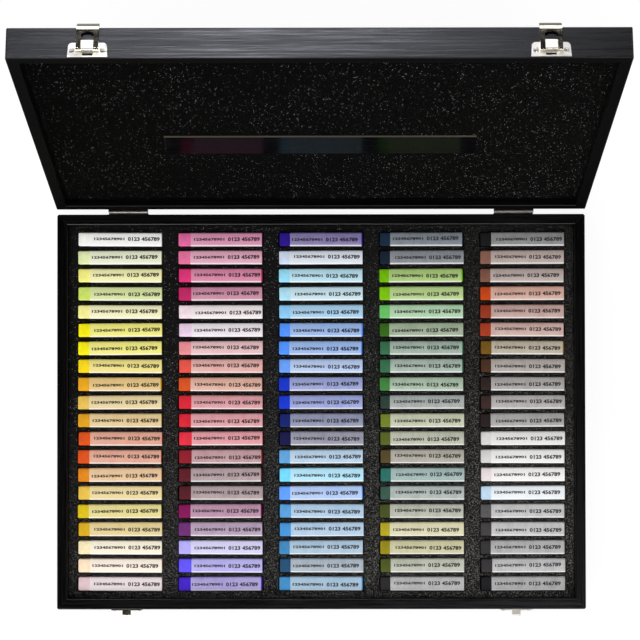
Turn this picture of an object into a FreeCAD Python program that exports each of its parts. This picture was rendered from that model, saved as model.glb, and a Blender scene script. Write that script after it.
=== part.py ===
import FreeCAD, Part
import math
import os

import Sketcher

# Pastel case: a shallow wooden box with a hinged lid, two hinges and two hasp latches.
# Millimetres, +Z up, +Y towards the hinges, origin at the centre of the underside.
# The lid is stored open, leaning back on its hinge stops.

Vector = FreeCAD.Vector
Rotation = FreeCAD.Rotation
Placement = FreeCAD.Placement

DIMENSIONS = [
    ("case_width", 408.0, "outside width of base and lid"),
    ("case_depth", 305.0, "outside depth of base and lid"),
    ("wall", 8.0, "thickness of the wooden walls"),
    ("base_height", 28.0, "height of the base walls"),
    ("lid_height", 22.0, "height of the lid walls"),
    ("panel_thick", 3.0, "bottom and top panel thickness"),
    ("rabbet", 4.0, "how far a panel reaches into the walls"),
    ("edge_round", 0.8, "rounding of the wooden edges"),
    ("corner_ease", 1.2, "flat worn on each upright corner"),
    ("closing_gap", 0.2, "gap between base rim and closed lid rim"),
    ("backing_thick", 8.9, "plain foam under the slotted foam"),
    ("tray_thick", 8.1, "slotted foam"),
    ("slot_length", 66.2, "foam slot along a stick"),
    ("slot_width", 11.3, "foam slot across a stick"),
    ("column_pitch", 78.0, "spacing of the columns"),
    ("row_pitch", 14.04, "spacing of the rows"),
    ("column_count", 5, "sticks side by side"),
    ("row_count", 20, "sticks from back to front"),
    ("stick_length", 65.0, "length of a pastel stick"),
    ("stick_size", 10.3, "width and height of a bare stick"),
    ("stick_ease", 0.9, "flat along each long edge of a stick"),
    ("sleeve_thick", 0.15, "paper sleeve"),
    ("sleeve_length", 55.5, "paper sleeve along the stick"),
    ("bare_end", 9.0, "uncovered stick at its left end"),
    ("stick_lift", 0.1, "stick above the foam backing"),
    ("lid_recess", 6.0, "lid rim down to the lid foam"),
    ("plate_width", 224.0, "name plate on the lid foam"),
    ("plate_depth", 33.5, "name plate on the lid foam"),
    ("plate_thick", 1.2, "name plate on the lid foam"),
    ("plate_from_hinge", 129.6, "lid back face to name plate centre"),
    ("open_angle", 105.0, "stored opening of the lid, degrees"),
    ("hinge_place", 149.0, "hinge centre from the middle"),
    ("hinge_width", 30.0, "width of a hinge"),
    ("hinge_offset", 2.7, "hinge axis behind the back face"),
    ("knuckle_radius", 2.4, "outside of the hinge barrel"),
    ("hinge_pin_radius", 1.2, "hinge pin"),
    ("hinge_play", 0.05, "running clearance round a pin"),
    ("leaf_thick", 1.0, "hinge leaf"),
    ("leaf_height", 13.0, "hinge leaf from the axis to its end"),
    ("knuckle_pitch", 7.5, "spacing of the four knuckles"),
    ("knuckle_width", 7.3, "length of one knuckle"),
    ("stop_length", 5.5, "stop tongue from the axis to its end"),
    ("hinge_screw_drop", 8.2, "hinge screws from the axis"),
    ("hinge_screw_half", 9.0, "hinge screws from the hinge middle"),
    ("latch_place", 150.5, "latch centre from the middle"),
    ("latch_sheet", 0.8, "latch plate and catch plate sheet"),
    ("latch_axis_out", 3.0, "latch pin in front of the lid face"),
    ("latch_axis_up", 5.8, "latch pin above the lid rim"),
    ("latch_pin_radius", 1.0, "latch pin"),
    ("latch_pin_length", 14.6, "latch pin and width of the hasp"),
    ("bridge_radius", 2.0, "bridge over the latch pin"),
    ("bridge_width", 7.6, "bridge and spring tongue"),
    ("hasp_sheet", 0.9, "hasp sheet"),
    ("hasp_eye_radius", 1.9, "hasp eyes round the pin"),
    ("hasp_window", 8.4, "opening between the hasp legs"),
    ("hasp_flat", 13.6, "pin to the start of the thumb lip"),
    ("lip_radius", 8.4, "bend of the thumb lip"),
    ("hasp_open_angle", 190.0, "stored swing of the hasp, degrees"),
    ("catch_hook_width", 6.4, "hook that the hasp closes over"),
    ("latch_screw_half", 10.0, "lid plate screws from the latch middle"),
    ("latch_screw_up", 5.6, "lid plate screws above the lid rim"),
    ("catch_screw_half", 9.6, "catch screws from the latch middle"),
    ("catch_screw_drop", 7.2, "catch screws below the base rim"),
    ("screw_head_radius", 1.9, "screw head"),
    ("screw_head_height", 0.9, "screw head"),
    ("screw_shank_radius", 1.1, "screw shank"),
    ("screw_depth", 6.0, "screw length inside the wood"),
    ("screw_play", 0.05, "hole round a screw shank"),
]


class Size:
    """A number together with the sheet expression that drives it."""

    def __init__(self, value, text):
        self.value = float(value)
        self.text = text

    @staticmethod
    def of(other):
        return other if isinstance(other, Size) else Size(other, repr(float(other)))

    def joined(self, sign, other, value):
        return Size(value, "(%s %s %s)" % (self.text, sign, other.text))

    def __add__(self, other):
        other = Size.of(other)
        return self.joined("+", other, self.value + other.value)

    def __sub__(self, other):
        other = Size.of(other)
        return self.joined("-", other, self.value - other.value)

    def __mul__(self, other):
        other = Size.of(other)
        return self.joined("*", other, self.value * other.value)

    def __truediv__(self, other):
        other = Size.of(other)
        return self.joined("/", other, self.value / other.value)

    def __rsub__(self, other):
        return Size.of(other) - self

    def __neg__(self):
        return self * -1

    __radd__ = __add__
    __rmul__ = __mul__


class Sizes:
    """The sheet's driving dimensions, read as Size objects by name."""

    def __init__(self, doc):
        sheet = doc.addObject("Spreadsheet::Sheet", "Dims")
        for row, (name, value, note) in enumerate(DIMENSIONS, start=1):
            sheet.set("A%d" % row, note)
            sheet.set("B%d" % row, "%g" % value)
            sheet.setAlias("B%d" % row, name)
            setattr(self, name, Size(value, "Dims.%s" % name))
        doc.recompute()


doc = FreeCAD.newDocument("PastelCase")
D = Sizes(doc)
NODES = []

HINGE_Y = D.case_depth.value / 2 + D.hinge_offset.value
HINGE_Z = D.base_height.value + D.closing_gap.value / 2
LID_RIM_Z = D.base_height.value + D.closing_gap.value
AXIS_X = Vector(1, 0, 0)
AXIS_Z = Vector(0, 0, 1)


def turned_about(point, degrees):
    """Placement that turns about a line along X through a point."""
    spin = Placement(Vector(0, 0, 0), Rotation(AXIS_X, degrees))
    there = Placement(point, Rotation())
    back = Placement(point * -1, Rotation())
    return there.multiply(spin).multiply(back)


LID_OPEN = turned_about(Vector(0, HINGE_Y, HINGE_Z), -D.open_angle.value)


def moved(x, y, z, axis=AXIS_Z, degrees=0.0):
    return Placement(Vector(x, y, z), Rotation(axis, degrees))


def on_lid(closed):
    """Where something placed on the closed lid is when the lid is stored open."""
    return LID_OPEN.multiply(closed)


def new_body(label):
    body = doc.addObject("PartDesign::Body", label)
    body.Label = label
    body.AllowCompound = True
    NODES.append(body)
    return body


def origin_item(body, role):
    return [item for item in body.Origin.OriginFeatures if item.Role == role][0]


def new_sketch(body, name, role, offset=None):
    """Sketch on one of the body's origin planes, moved along the plane's normal by offset."""
    sketch = body.newObject("Sketcher::SketchObject", name)
    sketch.AttachmentSupport = [(origin_item(body, role), "")]
    sketch.MapMode = "FlatFace"
    if offset is not None:
        offset = Size.of(offset)
        sketch.AttachmentOffset = Placement(Vector(0, 0, offset.value), Rotation())
        sketch.setExpression("AttachmentOffset.Base.z", offset.text)
    return sketch


def bound(sketch, kind, *refs, size):
    """Add a dimension to a sketch and drive it from the sheet."""
    size = Size.of(size)
    index = sketch.addConstraint(Sketcher.Constraint(kind, *refs, size.value))
    sketch.setExpression("Constraints[%d]" % index, size.text)


def draw_loop(sketch, points):
    """Closed outline. A point is (x, y), or (x, y, radius, bulge) where an arc leads on from it."""
    points = [tuple(point) + (None, 0)[len(point) - 2:] for point in points]
    first = sketch.GeometryCount
    count = len(points)
    flat = [(Size.of(p[0]), Size.of(p[1]), p[2], p[3]) for p in points]
    for i, (x, y, radius, bulge) in enumerate(flat):
        start = Vector(x.value, y.value, 0)
        after = flat[(i + 1) % count]
        end = Vector(after[0].value, after[1].value, 0)
        if radius is None:
            sketch.addGeometry(Part.LineSegment(start, end), False)
            continue
        chord = end - start
        half = chord.Length / 2
        side = Vector(-chord.y, chord.x, 0).normalize() * bulge
        rise = Size.of(radius).value - math.sqrt(Size.of(radius).value ** 2 - half ** 2)
        middle = start + chord * 0.5 + side * rise
        sketch.addGeometry(Part.Arc(start, middle, end), False)
    for i, (x, y, radius, bulge) in enumerate(flat):
        here, after = first + i, first + (i + 1) % count
        ends = arc_ends(sketch, here), arc_ends(sketch, after)
        sketch.addConstraint(Sketcher.Constraint("Coincident", here, ends[0][1], after, ends[1][0]))
    for i, (x, y, radius, bulge) in enumerate(flat):
        begin = arc_ends(sketch, first + i)[0]
        bound(sketch, "DistanceX", -1, 1, first + i, begin, size=x)
        bound(sketch, "DistanceY", -1, 1, first + i, begin, size=y)
        if radius is not None:
            bound(sketch, "Radius", first + i, size=radius)


def arc_ends(sketch, index):
    """Which point numbers of a sketch curve are its start and its end along the outline."""
    curve = sketch.Geometry[index]
    if isinstance(curve, Part.ArcOfCircle) and curve.Circle.Axis.z < 0:
        return 2, 1
    return 1, 2


def draw_box(sketch, x0, x1, y0, y1):
    draw_loop(sketch, [(x0, y0), (x1, y0), (x1, y1), (x0, y1)])


def draw_circle(sketch, x, y, radius):
    x, y, radius = Size.of(x), Size.of(y), Size.of(radius)
    centre = Vector(x.value, y.value, 0)
    index = sketch.addGeometry(Part.Circle(centre, AXIS_Z, radius.value), False)
    bound(sketch, "DistanceX", -1, 1, index, 3, size=x)
    bound(sketch, "DistanceY", -1, 1, index, 3, size=y)
    bound(sketch, "Radius", index, size=radius)


def pad(body, sketch, length, centred=False):
    """Solid from a sketch along its normal, or to both sides of it."""
    feature = body.newObject("PartDesign::Pad", sketch.Name + "_pad")
    feature.Profile = sketch
    length = Size.of(length)
    feature.Length = length.value
    feature.setExpression("Length", length.text)
    feature.Midplane = centred
    sketch.Visibility = False
    doc.recompute()
    return feature


def cut_through(body, sketch):
    """Opening right through the body, to both sides of the sketch."""
    feature = body.newObject("PartDesign::Pocket", sketch.Name + "_cut")
    feature.Profile = sketch
    feature.Type = "ThroughAll"
    feature.Midplane = True
    doc.recompute()
    return feature


def cut_blind(body, sketch, depth):
    """Pocket of a set depth, turned round if its first direction takes nothing away."""
    before = body.Shape.Volume
    feature = body.newObject("PartDesign::Pocket", sketch.Name + "_cut")
    feature.Profile = sketch
    feature.Type = "Length"
    depth = Size.of(depth)
    feature.Length = depth.value
    feature.setExpression("Length", depth.text)
    doc.recompute()
    if not feature.isValid() or body.Shape.Volume > before - 1e-3:
        feature.Reversed = True
        doc.recompute()
    return feature


def repeat(body, feature, role, spacing, count):
    """Repeat a feature along one of the body's axes."""
    pattern = body.newObject("PartDesign::LinearPattern", feature.Name + "_row")
    pattern.Originals = [feature]
    pattern.Direction = (origin_item(body, role), [""])
    body.Tip = pattern
    pattern.Mode = "Spacing"
    spacing, count = Size.of(spacing), Size.of(count)
    if spacing.value < 0:
        pattern.Reversed = True
        spacing = -spacing
    pattern.Offset = spacing.value
    pattern.setExpression("Offset", spacing.text)
    pattern.Occurrences = int(count.value)
    pattern.setExpression("Occurrences", count.text)
    doc.recompute()
    return pattern


def edges_where(body, test):
    """Names of the straight edges whose two end points both pass a test."""
    names = []
    for number, edge in enumerate(body.Tip.Shape.Edges, start=1):
        ends = [vertex.Point for vertex in edge.Vertexes]
        if len(ends) == 2 and test(*ends):
            names.append("Edge%d" % number)
    return names


def round_edges(body, test, radius):
    names = edges_where(body, test)
    base = body.Tip
    feature = body.newObject("PartDesign::Fillet", body.Name + "_round")
    feature.Base = (base, names)
    radius = Size.of(radius)
    feature.Radius = radius.value
    feature.setExpression("Radius", radius.text)
    base.Visibility = False
    doc.recompute()
    return feature


def near(a, b):
    return abs(a - b) < 1e-4


def wooden_wall(label, length, height, holes=()):
    """Mitred wall. Outer face at y = 0, panel rabbet at the foot, rim at z = height.

    Holes are (x, z) centres of screw holes in the outer face.
    """
    body = new_body(label)
    half, thick, ease = length / 2, D.wall, D.corner_ease
    plan = new_sketch(body, label + "_plan", "XY_Plane")
    draw_loop(plan, [
        (-half + ease, 0), (half - ease, 0), (half - ease / 2, ease / 2),
        (half - thick, thick), (-half + thick, thick), (-half + ease / 2, ease / 2),
    ])
    pad(body, plan, height)
    step = new_sketch(body, label + "_rabbet", "XY_Plane")
    draw_box(step, -half - 1, half + 1, thick - D.rabbet, thick + 1)
    cut_blind(body, step, D.panel_thick)

    def is_outline(a, b):
        lengthwise = near(a.y, b.y) and near(a.z, b.z)
        rim = near(a.z, height.value) and (near(a.y, 0) or near(a.y, thick.value))
        foot = near(a.z, 0) and near(a.y, 0)
        return lengthwise and (rim or foot)

    round_edges(body, is_outline, D.edge_round)
    if holes:
        drill = new_sketch(body, label + "_holes", "XZ_Plane")
        for x, z in holes:
            draw_circle(drill, x, z, D.screw_shank_radius + D.screw_play)
        cut_blind(body, drill, D.screw_depth + 0.2)
    return body


def place_walls(walls, height_shift, on_case, flip):
    """Stand four walls round the case, front, back, left, right."""
    w, d = D.case_width.value / 2, D.case_depth.value / 2
    spots = [
        moved(0, -d, height_shift),
        moved(0, d, height_shift, AXIS_Z, 180),
        moved(-w, 0, height_shift, AXIS_Z, -90),
        moved(w, 0, height_shift, AXIS_Z, 90),
    ]
    for wall, spot in zip(walls, spots):
        wall.Placement = on_case(spot.multiply(flip))


def pair_of_holes(centre, half, z):
    """Screw hole centres of one fitting at each end of a wall."""
    return [(side * centre + way * half, z) for side in (-1, 1) for way in (-1, 1)]


def base_walls():
    catch_z = D.base_height - D.catch_screw_drop
    hinge_z = D.base_height + D.closing_gap / 2 - D.hinge_screw_drop
    front = pair_of_holes(D.latch_place, D.catch_screw_half, catch_z)
    back = pair_of_holes(D.hinge_place, D.hinge_screw_half, hinge_z)
    walls = [
        wooden_wall("base_front_wall", D.case_width, D.base_height, front),
        wooden_wall("base_back_wall", D.case_width, D.base_height, back),
        wooden_wall("base_left_wall", D.case_depth, D.base_height),
        wooden_wall("base_right_wall", D.case_depth, D.base_height),
    ]
    place_walls(walls, 0, lambda spot: spot, Placement())


def lid_walls():
    """Lid walls are drawn rim up and turned over, so their heights count from the lid's top."""
    latch_z = D.lid_height - D.latch_screw_up
    hinge_z = D.lid_height + D.closing_gap / 2 - D.hinge_screw_drop
    front = pair_of_holes(D.latch_place, D.latch_screw_half, latch_z)
    back = pair_of_holes(D.hinge_place, D.hinge_screw_half, hinge_z)
    walls = [
        wooden_wall("lid_front_wall", D.case_width, D.lid_height, front),
        wooden_wall("lid_back_wall", D.case_width, D.lid_height, back),
        wooden_wall("lid_left_wall", D.case_depth, D.lid_height),
        wooden_wall("lid_right_wall", D.case_depth, D.lid_height),
    ]
    top = LID_RIM_Z + D.lid_height.value
    place_walls(walls, top, on_lid, Placement(Vector(0, 0, 0), Rotation(Vector(0, 1, 0), 180)))


def slab(label, width, depth, thick):
    """Plain rectangular board centred on the origin, standing on z = 0."""
    body = new_body(label)
    sketch = new_sketch(body, label + "_outline", "XY_Plane")
    draw_box(sketch, -width / 2, width / 2, -depth / 2, depth / 2)
    pad(body, sketch, thick)
    return body


def panels():
    inset = 2 * (D.wall - D.rabbet)
    slab("base_bottom_panel", D.case_width - inset, D.case_depth - inset, D.panel_thick)
    top = slab("lid_top_panel", D.case_width - inset, D.case_depth - inset, D.panel_thick)
    top.Placement = on_lid(moved(0, 0, LID_RIM_Z + D.lid_height.value - D.panel_thick.value))


def foams():
    width, depth = D.case_width - 2 * D.wall, D.case_depth - 2 * D.wall
    backing = slab("base_foam_backing", width, depth, D.backing_thick)
    backing.Placement = moved(0, 0, D.panel_thick.value)

    tray = slab("base_foam_tray", width, depth, D.tray_thick)
    slots = new_sketch(tray, "tray_slots", "XY_Plane")
    first_row = (D.row_count - 1) * D.row_pitch / 2
    for column in range(int(D.column_count.value)):
        x = D.column_pitch * column - D.column_pitch * (D.column_count - 1) / 2
        draw_box(slots, x - D.slot_length / 2, x + D.slot_length / 2,
                 first_row - D.slot_width / 2, first_row + D.slot_width / 2)
    row = cut_through(tray, slots)
    repeat(tray, row, "Y_Axis", -D.row_pitch, D.row_count)
    tray.Placement = moved(0, 0, D.panel_thick.value + D.backing_thick.value)

    pad_thick = D.lid_height - D.panel_thick - D.lid_recess
    lid_pad = slab("lid_foam_pad", width, depth, pad_thick)
    lid_pad.Placement = on_lid(moved(0, 0, LID_RIM_Z + D.lid_recess.value))


def name_plate():
    plate = slab("lid_name_plate", D.plate_width, D.plate_depth, D.plate_thick)

    def is_corner(a, b):
        return near(a.x, b.x) and near(a.y, b.y)

    round_edges(plate, is_corner, 1.0)
    y = D.case_depth.value / 2 - D.plate_from_hinge.value
    z = LID_RIM_Z + D.lid_recess.value - D.plate_thick.value
    plate.Placement = on_lid(moved(0, y, z))


def bar_outline(half, ease):
    """Square bar section with a flat along each edge."""
    low, high = -half, half
    return [
        (low + ease, low), (high - ease, low), (high, low + ease), (high, high - ease),
        (high - ease, high), (low + ease, high), (low, high - ease), (low, low + ease),
    ]


def sticks(label, column, first_row, count):
    """Some of the bare pastel sticks of one column."""
    body = new_body(label)
    section = new_sketch(body, label + "_section", "YZ_Plane")
    draw_loop(section, bar_outline(D.stick_size / 2, D.stick_ease))
    bar = pad(body, section, D.stick_length, centred=True)
    repeat(body, bar, "Y_Axis", -D.row_pitch, count)
    body.Placement = column_spot(column, first_row)


def sleeves(label, column):
    """The paper sleeves of one column."""
    body = new_body(label)
    start = D.bare_end - D.stick_length / 2
    section = new_sketch(body, label + "_section", "YZ_Plane", start)
    draw_loop(section, bar_outline(D.stick_size / 2 + D.sleeve_thick, D.stick_ease))
    draw_loop(section, bar_outline(D.stick_size / 2, D.stick_ease))
    wrap = pad(body, section, D.sleeve_length)
    repeat(body, wrap, "Y_Axis", -D.row_pitch, D.row_count)
    body.Placement = column_spot(column, 0)


def column_spot(column, row):
    """Centre of the stick in a column and row, both counted from the back left."""
    x = D.column_pitch.value * (column - (D.column_count.value - 1) / 2)
    y = D.row_pitch.value * ((D.row_count.value - 1) / 2 - row)
    z = (D.panel_thick.value + D.backing_thick.value + D.stick_lift.value
         + D.sleeve_thick.value + D.stick_size.value / 2)
    return moved(x, y, z)


def pastels():
    half = int(D.row_count.value) // 2
    for column in range(int(D.column_count.value)):
        number = column + 1
        sticks("pastels_column_%d_back" % number, column, 0, D.row_count / 2)
        sticks("pastels_column_%d_front" % number, column, half, D.row_count / 2)
        sleeves("sleeves_column_%d" % number, column)


def hinge_leaf(label, way, first_knuckle, bore, screw_drop):
    """Leaf with two of the four knuckles, drawn about the hinge axis.

    way is -1 for the leaf that runs down the base and 1 for the leaf that runs up the lid.
    """
    body = new_body(label)
    outer = -D.hinge_offset + D.leaf_thick
    leaf = new_sketch(body, label + "_leaf", "YZ_Plane")
    draw_box(leaf, -D.hinge_offset, outer, 0, way * D.leaf_height)
    pad(body, leaf, D.hinge_width, centred=True)

    notch = new_sketch(body, label + "_notches", "XZ_Plane")
    half_gap = (D.knuckle_pitch - D.knuckle_width) / 2
    for number in range(4):
        if number % 2 == first_knuckle % 2:
            continue
        x = D.knuckle_pitch * number - D.hinge_width / 2
        draw_box(notch, x - half_gap, x + D.knuckle_pitch + half_gap, -way * 1.0, way * 2.6)
    cut_through(body, notch)

    start = D.knuckle_pitch * first_knuckle - D.hinge_width / 2 + half_gap
    ring = new_sketch(body, label + "_knuckle", "YZ_Plane", start)
    draw_circle(ring, 0, 0, D.knuckle_radius)
    knuckle = pad(body, ring, D.knuckle_width)
    repeat(body, knuckle, "X_Axis", D.knuckle_pitch * 2, 2)

    if way > 0:
        stop_tongues(body, label, start)
    hole = new_sketch(body, label + "_bore", "YZ_Plane")
    draw_circle(hole, 0, 0, bore)
    cut_through(body, hole)

    drill = new_sketch(body, label + "_screw_holes", "XZ_Plane")
    for side in (-1, 1):
        radius = D.screw_shank_radius + D.screw_play
        draw_circle(drill, side * D.hinge_screw_half, way * screw_drop, radius)
    cut_through(body, drill)

    def is_end_corner(a, b):
        at_end = near(a.z, way * D.leaf_height.value)
        return at_end and near(a.x, b.x) and near(a.z, b.z) and not near(a.y, b.y)

    round_edges(body, is_end_corner, 1.5)
    return body


def stop_tongues(body, label, start):
    """Tongues on the lid knuckles that bear on the base leaf when the lid is fully open."""
    angle = math.radians(D.open_angle.value)
    low = -D.hinge_offset.value + D.leaf_thick.value + 0.05
    corners = [(low, -1.2), (low + 0.95, -1.2), (low + 0.95, -D.stop_length.value),
               (low, -D.stop_length.value)]
    closed = [(y * math.cos(angle) - z * math.sin(angle),
               y * math.sin(angle) + z * math.cos(angle)) for y, z in corners]
    tongue = new_sketch(body, label + "_stop", "YZ_Plane", start)
    draw_loop(tongue, closed)
    feature = pad(body, tongue, D.knuckle_width)
    repeat(body, feature, "X_Axis", D.knuckle_pitch * 2, 2)


def screws(label, half_spacing, through, spot):
    """Two round-headed screws; head on y < 0, shank towards y > 0 through a sheet into wood."""
    body = new_body(label)
    section = new_sketch(body, label + "_section", "XY_Plane")
    head, height, shank = D.screw_head_radius, D.screw_head_height, D.screw_shank_radius
    dome = (head * head + height * height) / (height * 2)
    draw_loop(section, [
        (0, -height, dome, -1), (head, 0), (shank, 0),
        (shank, through + D.screw_depth - 1.2), (0, through + D.screw_depth),
    ])
    spin = body.newObject("PartDesign::Revolution", label + "_turned")
    spin.Profile = section
    spin.ReferenceAxis = (section, ["V_Axis"])
    spin.Angle = 360
    doc.recompute()
    slot = new_sketch(body, label + "_slot", "XZ_Plane", height)
    draw_box(slot, -head, head, -0.3, 0.3)
    cut_blind(body, slot, 0.45)
    first = body.Tip
    pattern = body.newObject("PartDesign::LinearPattern", label + "_pair")
    pattern.Originals = [spin, first]
    pattern.Direction = (origin_item(body, "X_Axis"), [""])
    body.Tip = pattern
    pattern.Mode = "Spacing"
    pattern.Offset = half_spacing.value * 2
    pattern.setExpression("Offset", (half_spacing * 2).text)
    pattern.Occurrences = 2
    doc.recompute()
    body.Placement = spot.multiply(moved(-half_spacing.value, 0, 0))


def turned_pin(label, radius, length):
    """Plain pin along X, centred."""
    pin = doc.addObject("Part::Cylinder", label)
    pin.Label = label
    pin.Radius, pin.Height = radius.value, length.value
    pin.setExpression("Radius", radius.text)
    pin.setExpression("Height", length.text)
    NODES.append(pin)
    return pin, moved(-length.value / 2, 0, 0, Vector(0, 1, 0), 90)


def hinges():
    drop = D.hinge_screw_drop.value
    for side, name in ((-1, "left"), (1, "right")):
        x = side * D.hinge_place.value
        axis = moved(x, HINGE_Y, HINGE_Z)
        bore = D.hinge_pin_radius
        loose = D.hinge_pin_radius + D.hinge_play
        base = hinge_leaf("hinge_%s_base_leaf" % name, -1, 0, bore, D.hinge_screw_drop)
        base.Placement = axis
        lid = hinge_leaf("hinge_%s_lid_leaf" % name, 1, 1, loose, D.hinge_screw_drop)
        lid.Placement = on_lid(axis)
        pin, lying = turned_pin("hinge_%s_pin" % name, D.hinge_pin_radius, D.hinge_width + 0.6)
        pin.Placement = axis.multiply(lying)

        face = D.case_depth.value / 2 + D.leaf_thick.value
        low = moved(x, face, HINGE_Z - drop, AXIS_Z, 180)
        high = moved(x, face, HINGE_Z + drop, AXIS_Z, 180)
        screws("hinge_%s_base_screws" % name, D.hinge_screw_half, D.leaf_thick, low)
        screws("hinge_%s_lid_screws" % name, D.hinge_screw_half, D.leaf_thick, on_lid(high))


def latch_plate(label):
    """Lid plate: flat sheet with a bridge that holds the pin and runs on as a spring tongue.

    Drawn on the lid's front face at the rim: x across, z up the face, y < 0 outwards.
    """
    body = new_body(label)
    foot, shoulder, crown = 1.1, 11.0, 13.0
    outline = new_sketch(body, label + "_outline", "XZ_Plane")
    draw_loop(outline, [
        (-13.1, foot), (13.1, foot), (12.4, shoulder), (7.3, shoulder),
        (7.3, crown), (-7.3, crown), (-7.3, shoulder), (-12.4, shoulder),
    ])
    pad(body, outline, D.latch_sheet)

    def is_shoulder(a, b):
        return near(a.x, b.x) and near(abs(a.x), 12.4) and near(a.z, b.z)

    def is_crown(a, b):
        return near(a.x, b.x) and near(a.z, crown) and near(b.z, crown) and near(abs(a.x), 7.3)

    round_edges(body, is_shoulder, 2.6)
    round_edges(body, is_crown, 1.6)

    out, up = -D.latch_axis_out, D.latch_axis_up
    bridge = new_sketch(body, label + "_bridge", "YZ_Plane")
    draw_loop(bridge, [
        (-0.4, 4.2), (out, up - D.bridge_radius, D.bridge_radius, -1),
        (out - D.bridge_radius, up), (-4.4, up + 1.6), (-1.7, 12.6), (-0.4, 12.6),
    ])
    pad(body, bridge, D.bridge_width, centred=True)
    hollow = new_sketch(body, label + "_hollow", "YZ_Plane")
    draw_loop(hollow, [(-0.8, 8.2), (-3.1, 8.2), (-1.2, 12.0), (-0.8, 12.0)])
    cut_through(body, hollow)
    slot = new_sketch(body, label + "_slot", "XZ_Plane")
    draw_box(slot, -3.4, 3.4, 2.1, 3.7)
    cut_through(body, slot)
    bore = new_sketch(body, label + "_bore", "YZ_Plane")
    draw_circle(bore, out, up, D.latch_pin_radius)
    cut_through(body, bore)
    screw_holes(body, label, D.latch_screw_half, D.latch_screw_up)
    return body


def screw_holes(body, label, half, z):
    drill = new_sketch(body, label + "_screw_holes", "XZ_Plane")
    for side in (-1, 1):
        draw_circle(drill, side * half, z, D.screw_shank_radius + D.screw_play)
    cut_through(body, drill)


def hasp(label):
    """Swinging hasp, drawn closed about its pin: two eyes, two legs, arched window, thumb lip."""
    body = new_body(label)
    width, eye = D.latch_pin_length, D.hasp_eye_radius
    bend = math.radians(64)
    inner = D.lip_radius - D.hasp_sheet
    centre = eye - D.lip_radius
    flat_end = -D.hasp_flat

    side = new_sketch(body, label + "_side", "YZ_Plane")
    draw_loop(side, [
        (eye, 0), (eye, flat_end, D.lip_radius, 1),
        (centre + D.lip_radius * math.cos(bend), flat_end - D.lip_radius * math.sin(bend)),
        (centre + inner * math.cos(bend), flat_end - inner * math.sin(bend), inner, -1),
        (eye - D.hasp_sheet, flat_end), (eye - D.hasp_sheet, 0),
    ])
    pad(body, side, width, centred=True)
    eyes = new_sketch(body, label + "_eyes", "YZ_Plane")
    draw_circle(eyes, 0, 0, eye)
    pad(body, eyes, width, centred=True)

    half = D.hasp_window / 2
    window = new_sketch(body, label + "_window", "XZ_Plane")
    draw_loop(window, [
        (-half, 2.5), (-half, -10.2, 5.41, -1), (half, -10.2), (half, 2.5),
    ])
    cut_through(body, window)
    bore = new_sketch(body, label + "_bore", "YZ_Plane")
    draw_circle(bore, 0, 0, D.latch_pin_radius + D.hinge_play)
    cut_through(body, bore)

    def is_lip_corner(a, b):
        tip = flat_end.value - inner.value * math.sin(bend) + 0.1
        return near(a.x, b.x) and max(a.z, b.z) < tip and near(abs(a.x), width.value / 2)

    round_edges(body, is_lip_corner, 2.2)
    return body


def catch(label):
    """Base plate with a hook lanced out of it. Drawn at the base rim: z < 0 down the face."""
    body = new_body(label)
    outline = new_sketch(body, label + "_outline", "XZ_Plane")
    draw_box(outline, -12.0, 12.0, -13.2, -1.2)
    pad(body, outline, D.latch_sheet)

    def is_corner(a, b):
        return near(a.x, b.x) and near(a.z, b.z) and near(abs(a.x), 12.0)

    round_edges(body, is_corner, 1.8)
    gap = new_sketch(body, label + "_gap", "XZ_Plane")
    draw_box(gap, -3.6, 3.6, -8.4, -3.5)
    cut_through(body, gap)
    hook = new_sketch(body, label + "_hook", "YZ_Plane")
    draw_loop(hook, [
        (-0.2, -2.4), (-0.2, -3.5), (-4.1, -3.5), (-4.1, -4.6),
        (-5.2, -4.6), (-5.2, -3.2, 0.8, 1), (-4.4, -2.4),
    ])
    pad(body, hook, D.catch_hook_width, centred=True)
    screw_holes(body, label, D.catch_screw_half, -D.catch_screw_drop)
    return body


def latches():
    front = -D.case_depth.value / 2
    out, up = D.latch_axis_out.value, D.latch_axis_up.value
    for side, name in ((-1, "left"), (1, "right")):
        x = side * D.latch_place.value
        lid_spot = moved(x, front, LID_RIM_Z)
        latch_plate("latch_%s_plate" % name).Placement = on_lid(lid_spot)

        axis = Vector(x, front - out, LID_RIM_Z + up)
        pin, lying = turned_pin("latch_%s_pin" % name, D.latch_pin_radius, D.latch_pin_length)
        pin.Placement = on_lid(Placement(axis, Rotation()).multiply(lying))
        swing = turned_about(axis, -D.hasp_open_angle.value)
        swung = swing.multiply(Placement(axis, Rotation()))
        hasp("latch_%s_hasp" % name).Placement = on_lid(swung)

        sheet = D.latch_sheet.value
        high = moved(x, front - sheet, LID_RIM_Z + D.latch_screw_up.value)
        screws("latch_%s_screws" % name, D.latch_screw_half, D.latch_sheet, on_lid(high))

        catch("catch_%s" % name).Placement = moved(x, front, D.base_height.value)
        low = moved(x, front - sheet, D.base_height.value - D.catch_screw_drop.value)
        screws("catch_%s_screws" % name, D.catch_screw_half, D.latch_sheet, low)


def check_and_write():
    """Stop if anything failed to build, then write one file for each sub-part."""
    doc.recompute()
    for item in doc.Objects:
        bad = {"Invalid", "Error"} & set(item.State)
        if bad:
            raise RuntimeError("%s is %s" % (item.Label, ", ".join(bad)))
    os.makedirs("parts", exist_ok=True)
    for node in NODES:
        shape = node.Shape
        if shape.isNull() or not shape.isValid() or not shape.Solids:
            raise RuntimeError("%s has no valid solid" % node.Label)
        shape.exportStep(os.path.join("parts", node.Label + ".step"))
        box = shape.BoundBox
        print("%-28s solids %3d  volume %10.2f  x %7.1f %7.1f  y %7.1f %7.1f  z %7.1f %7.1f" % (
            node.Label, len(shape.Solids), shape.Volume,
            box.XMin, box.XMax, box.YMin, box.YMax, box.ZMin, box.ZMax))


base_walls()
panels()
foams()
pastels()
lid_walls()
name_plate()
hinges()
latches()
check_and_write()
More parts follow.
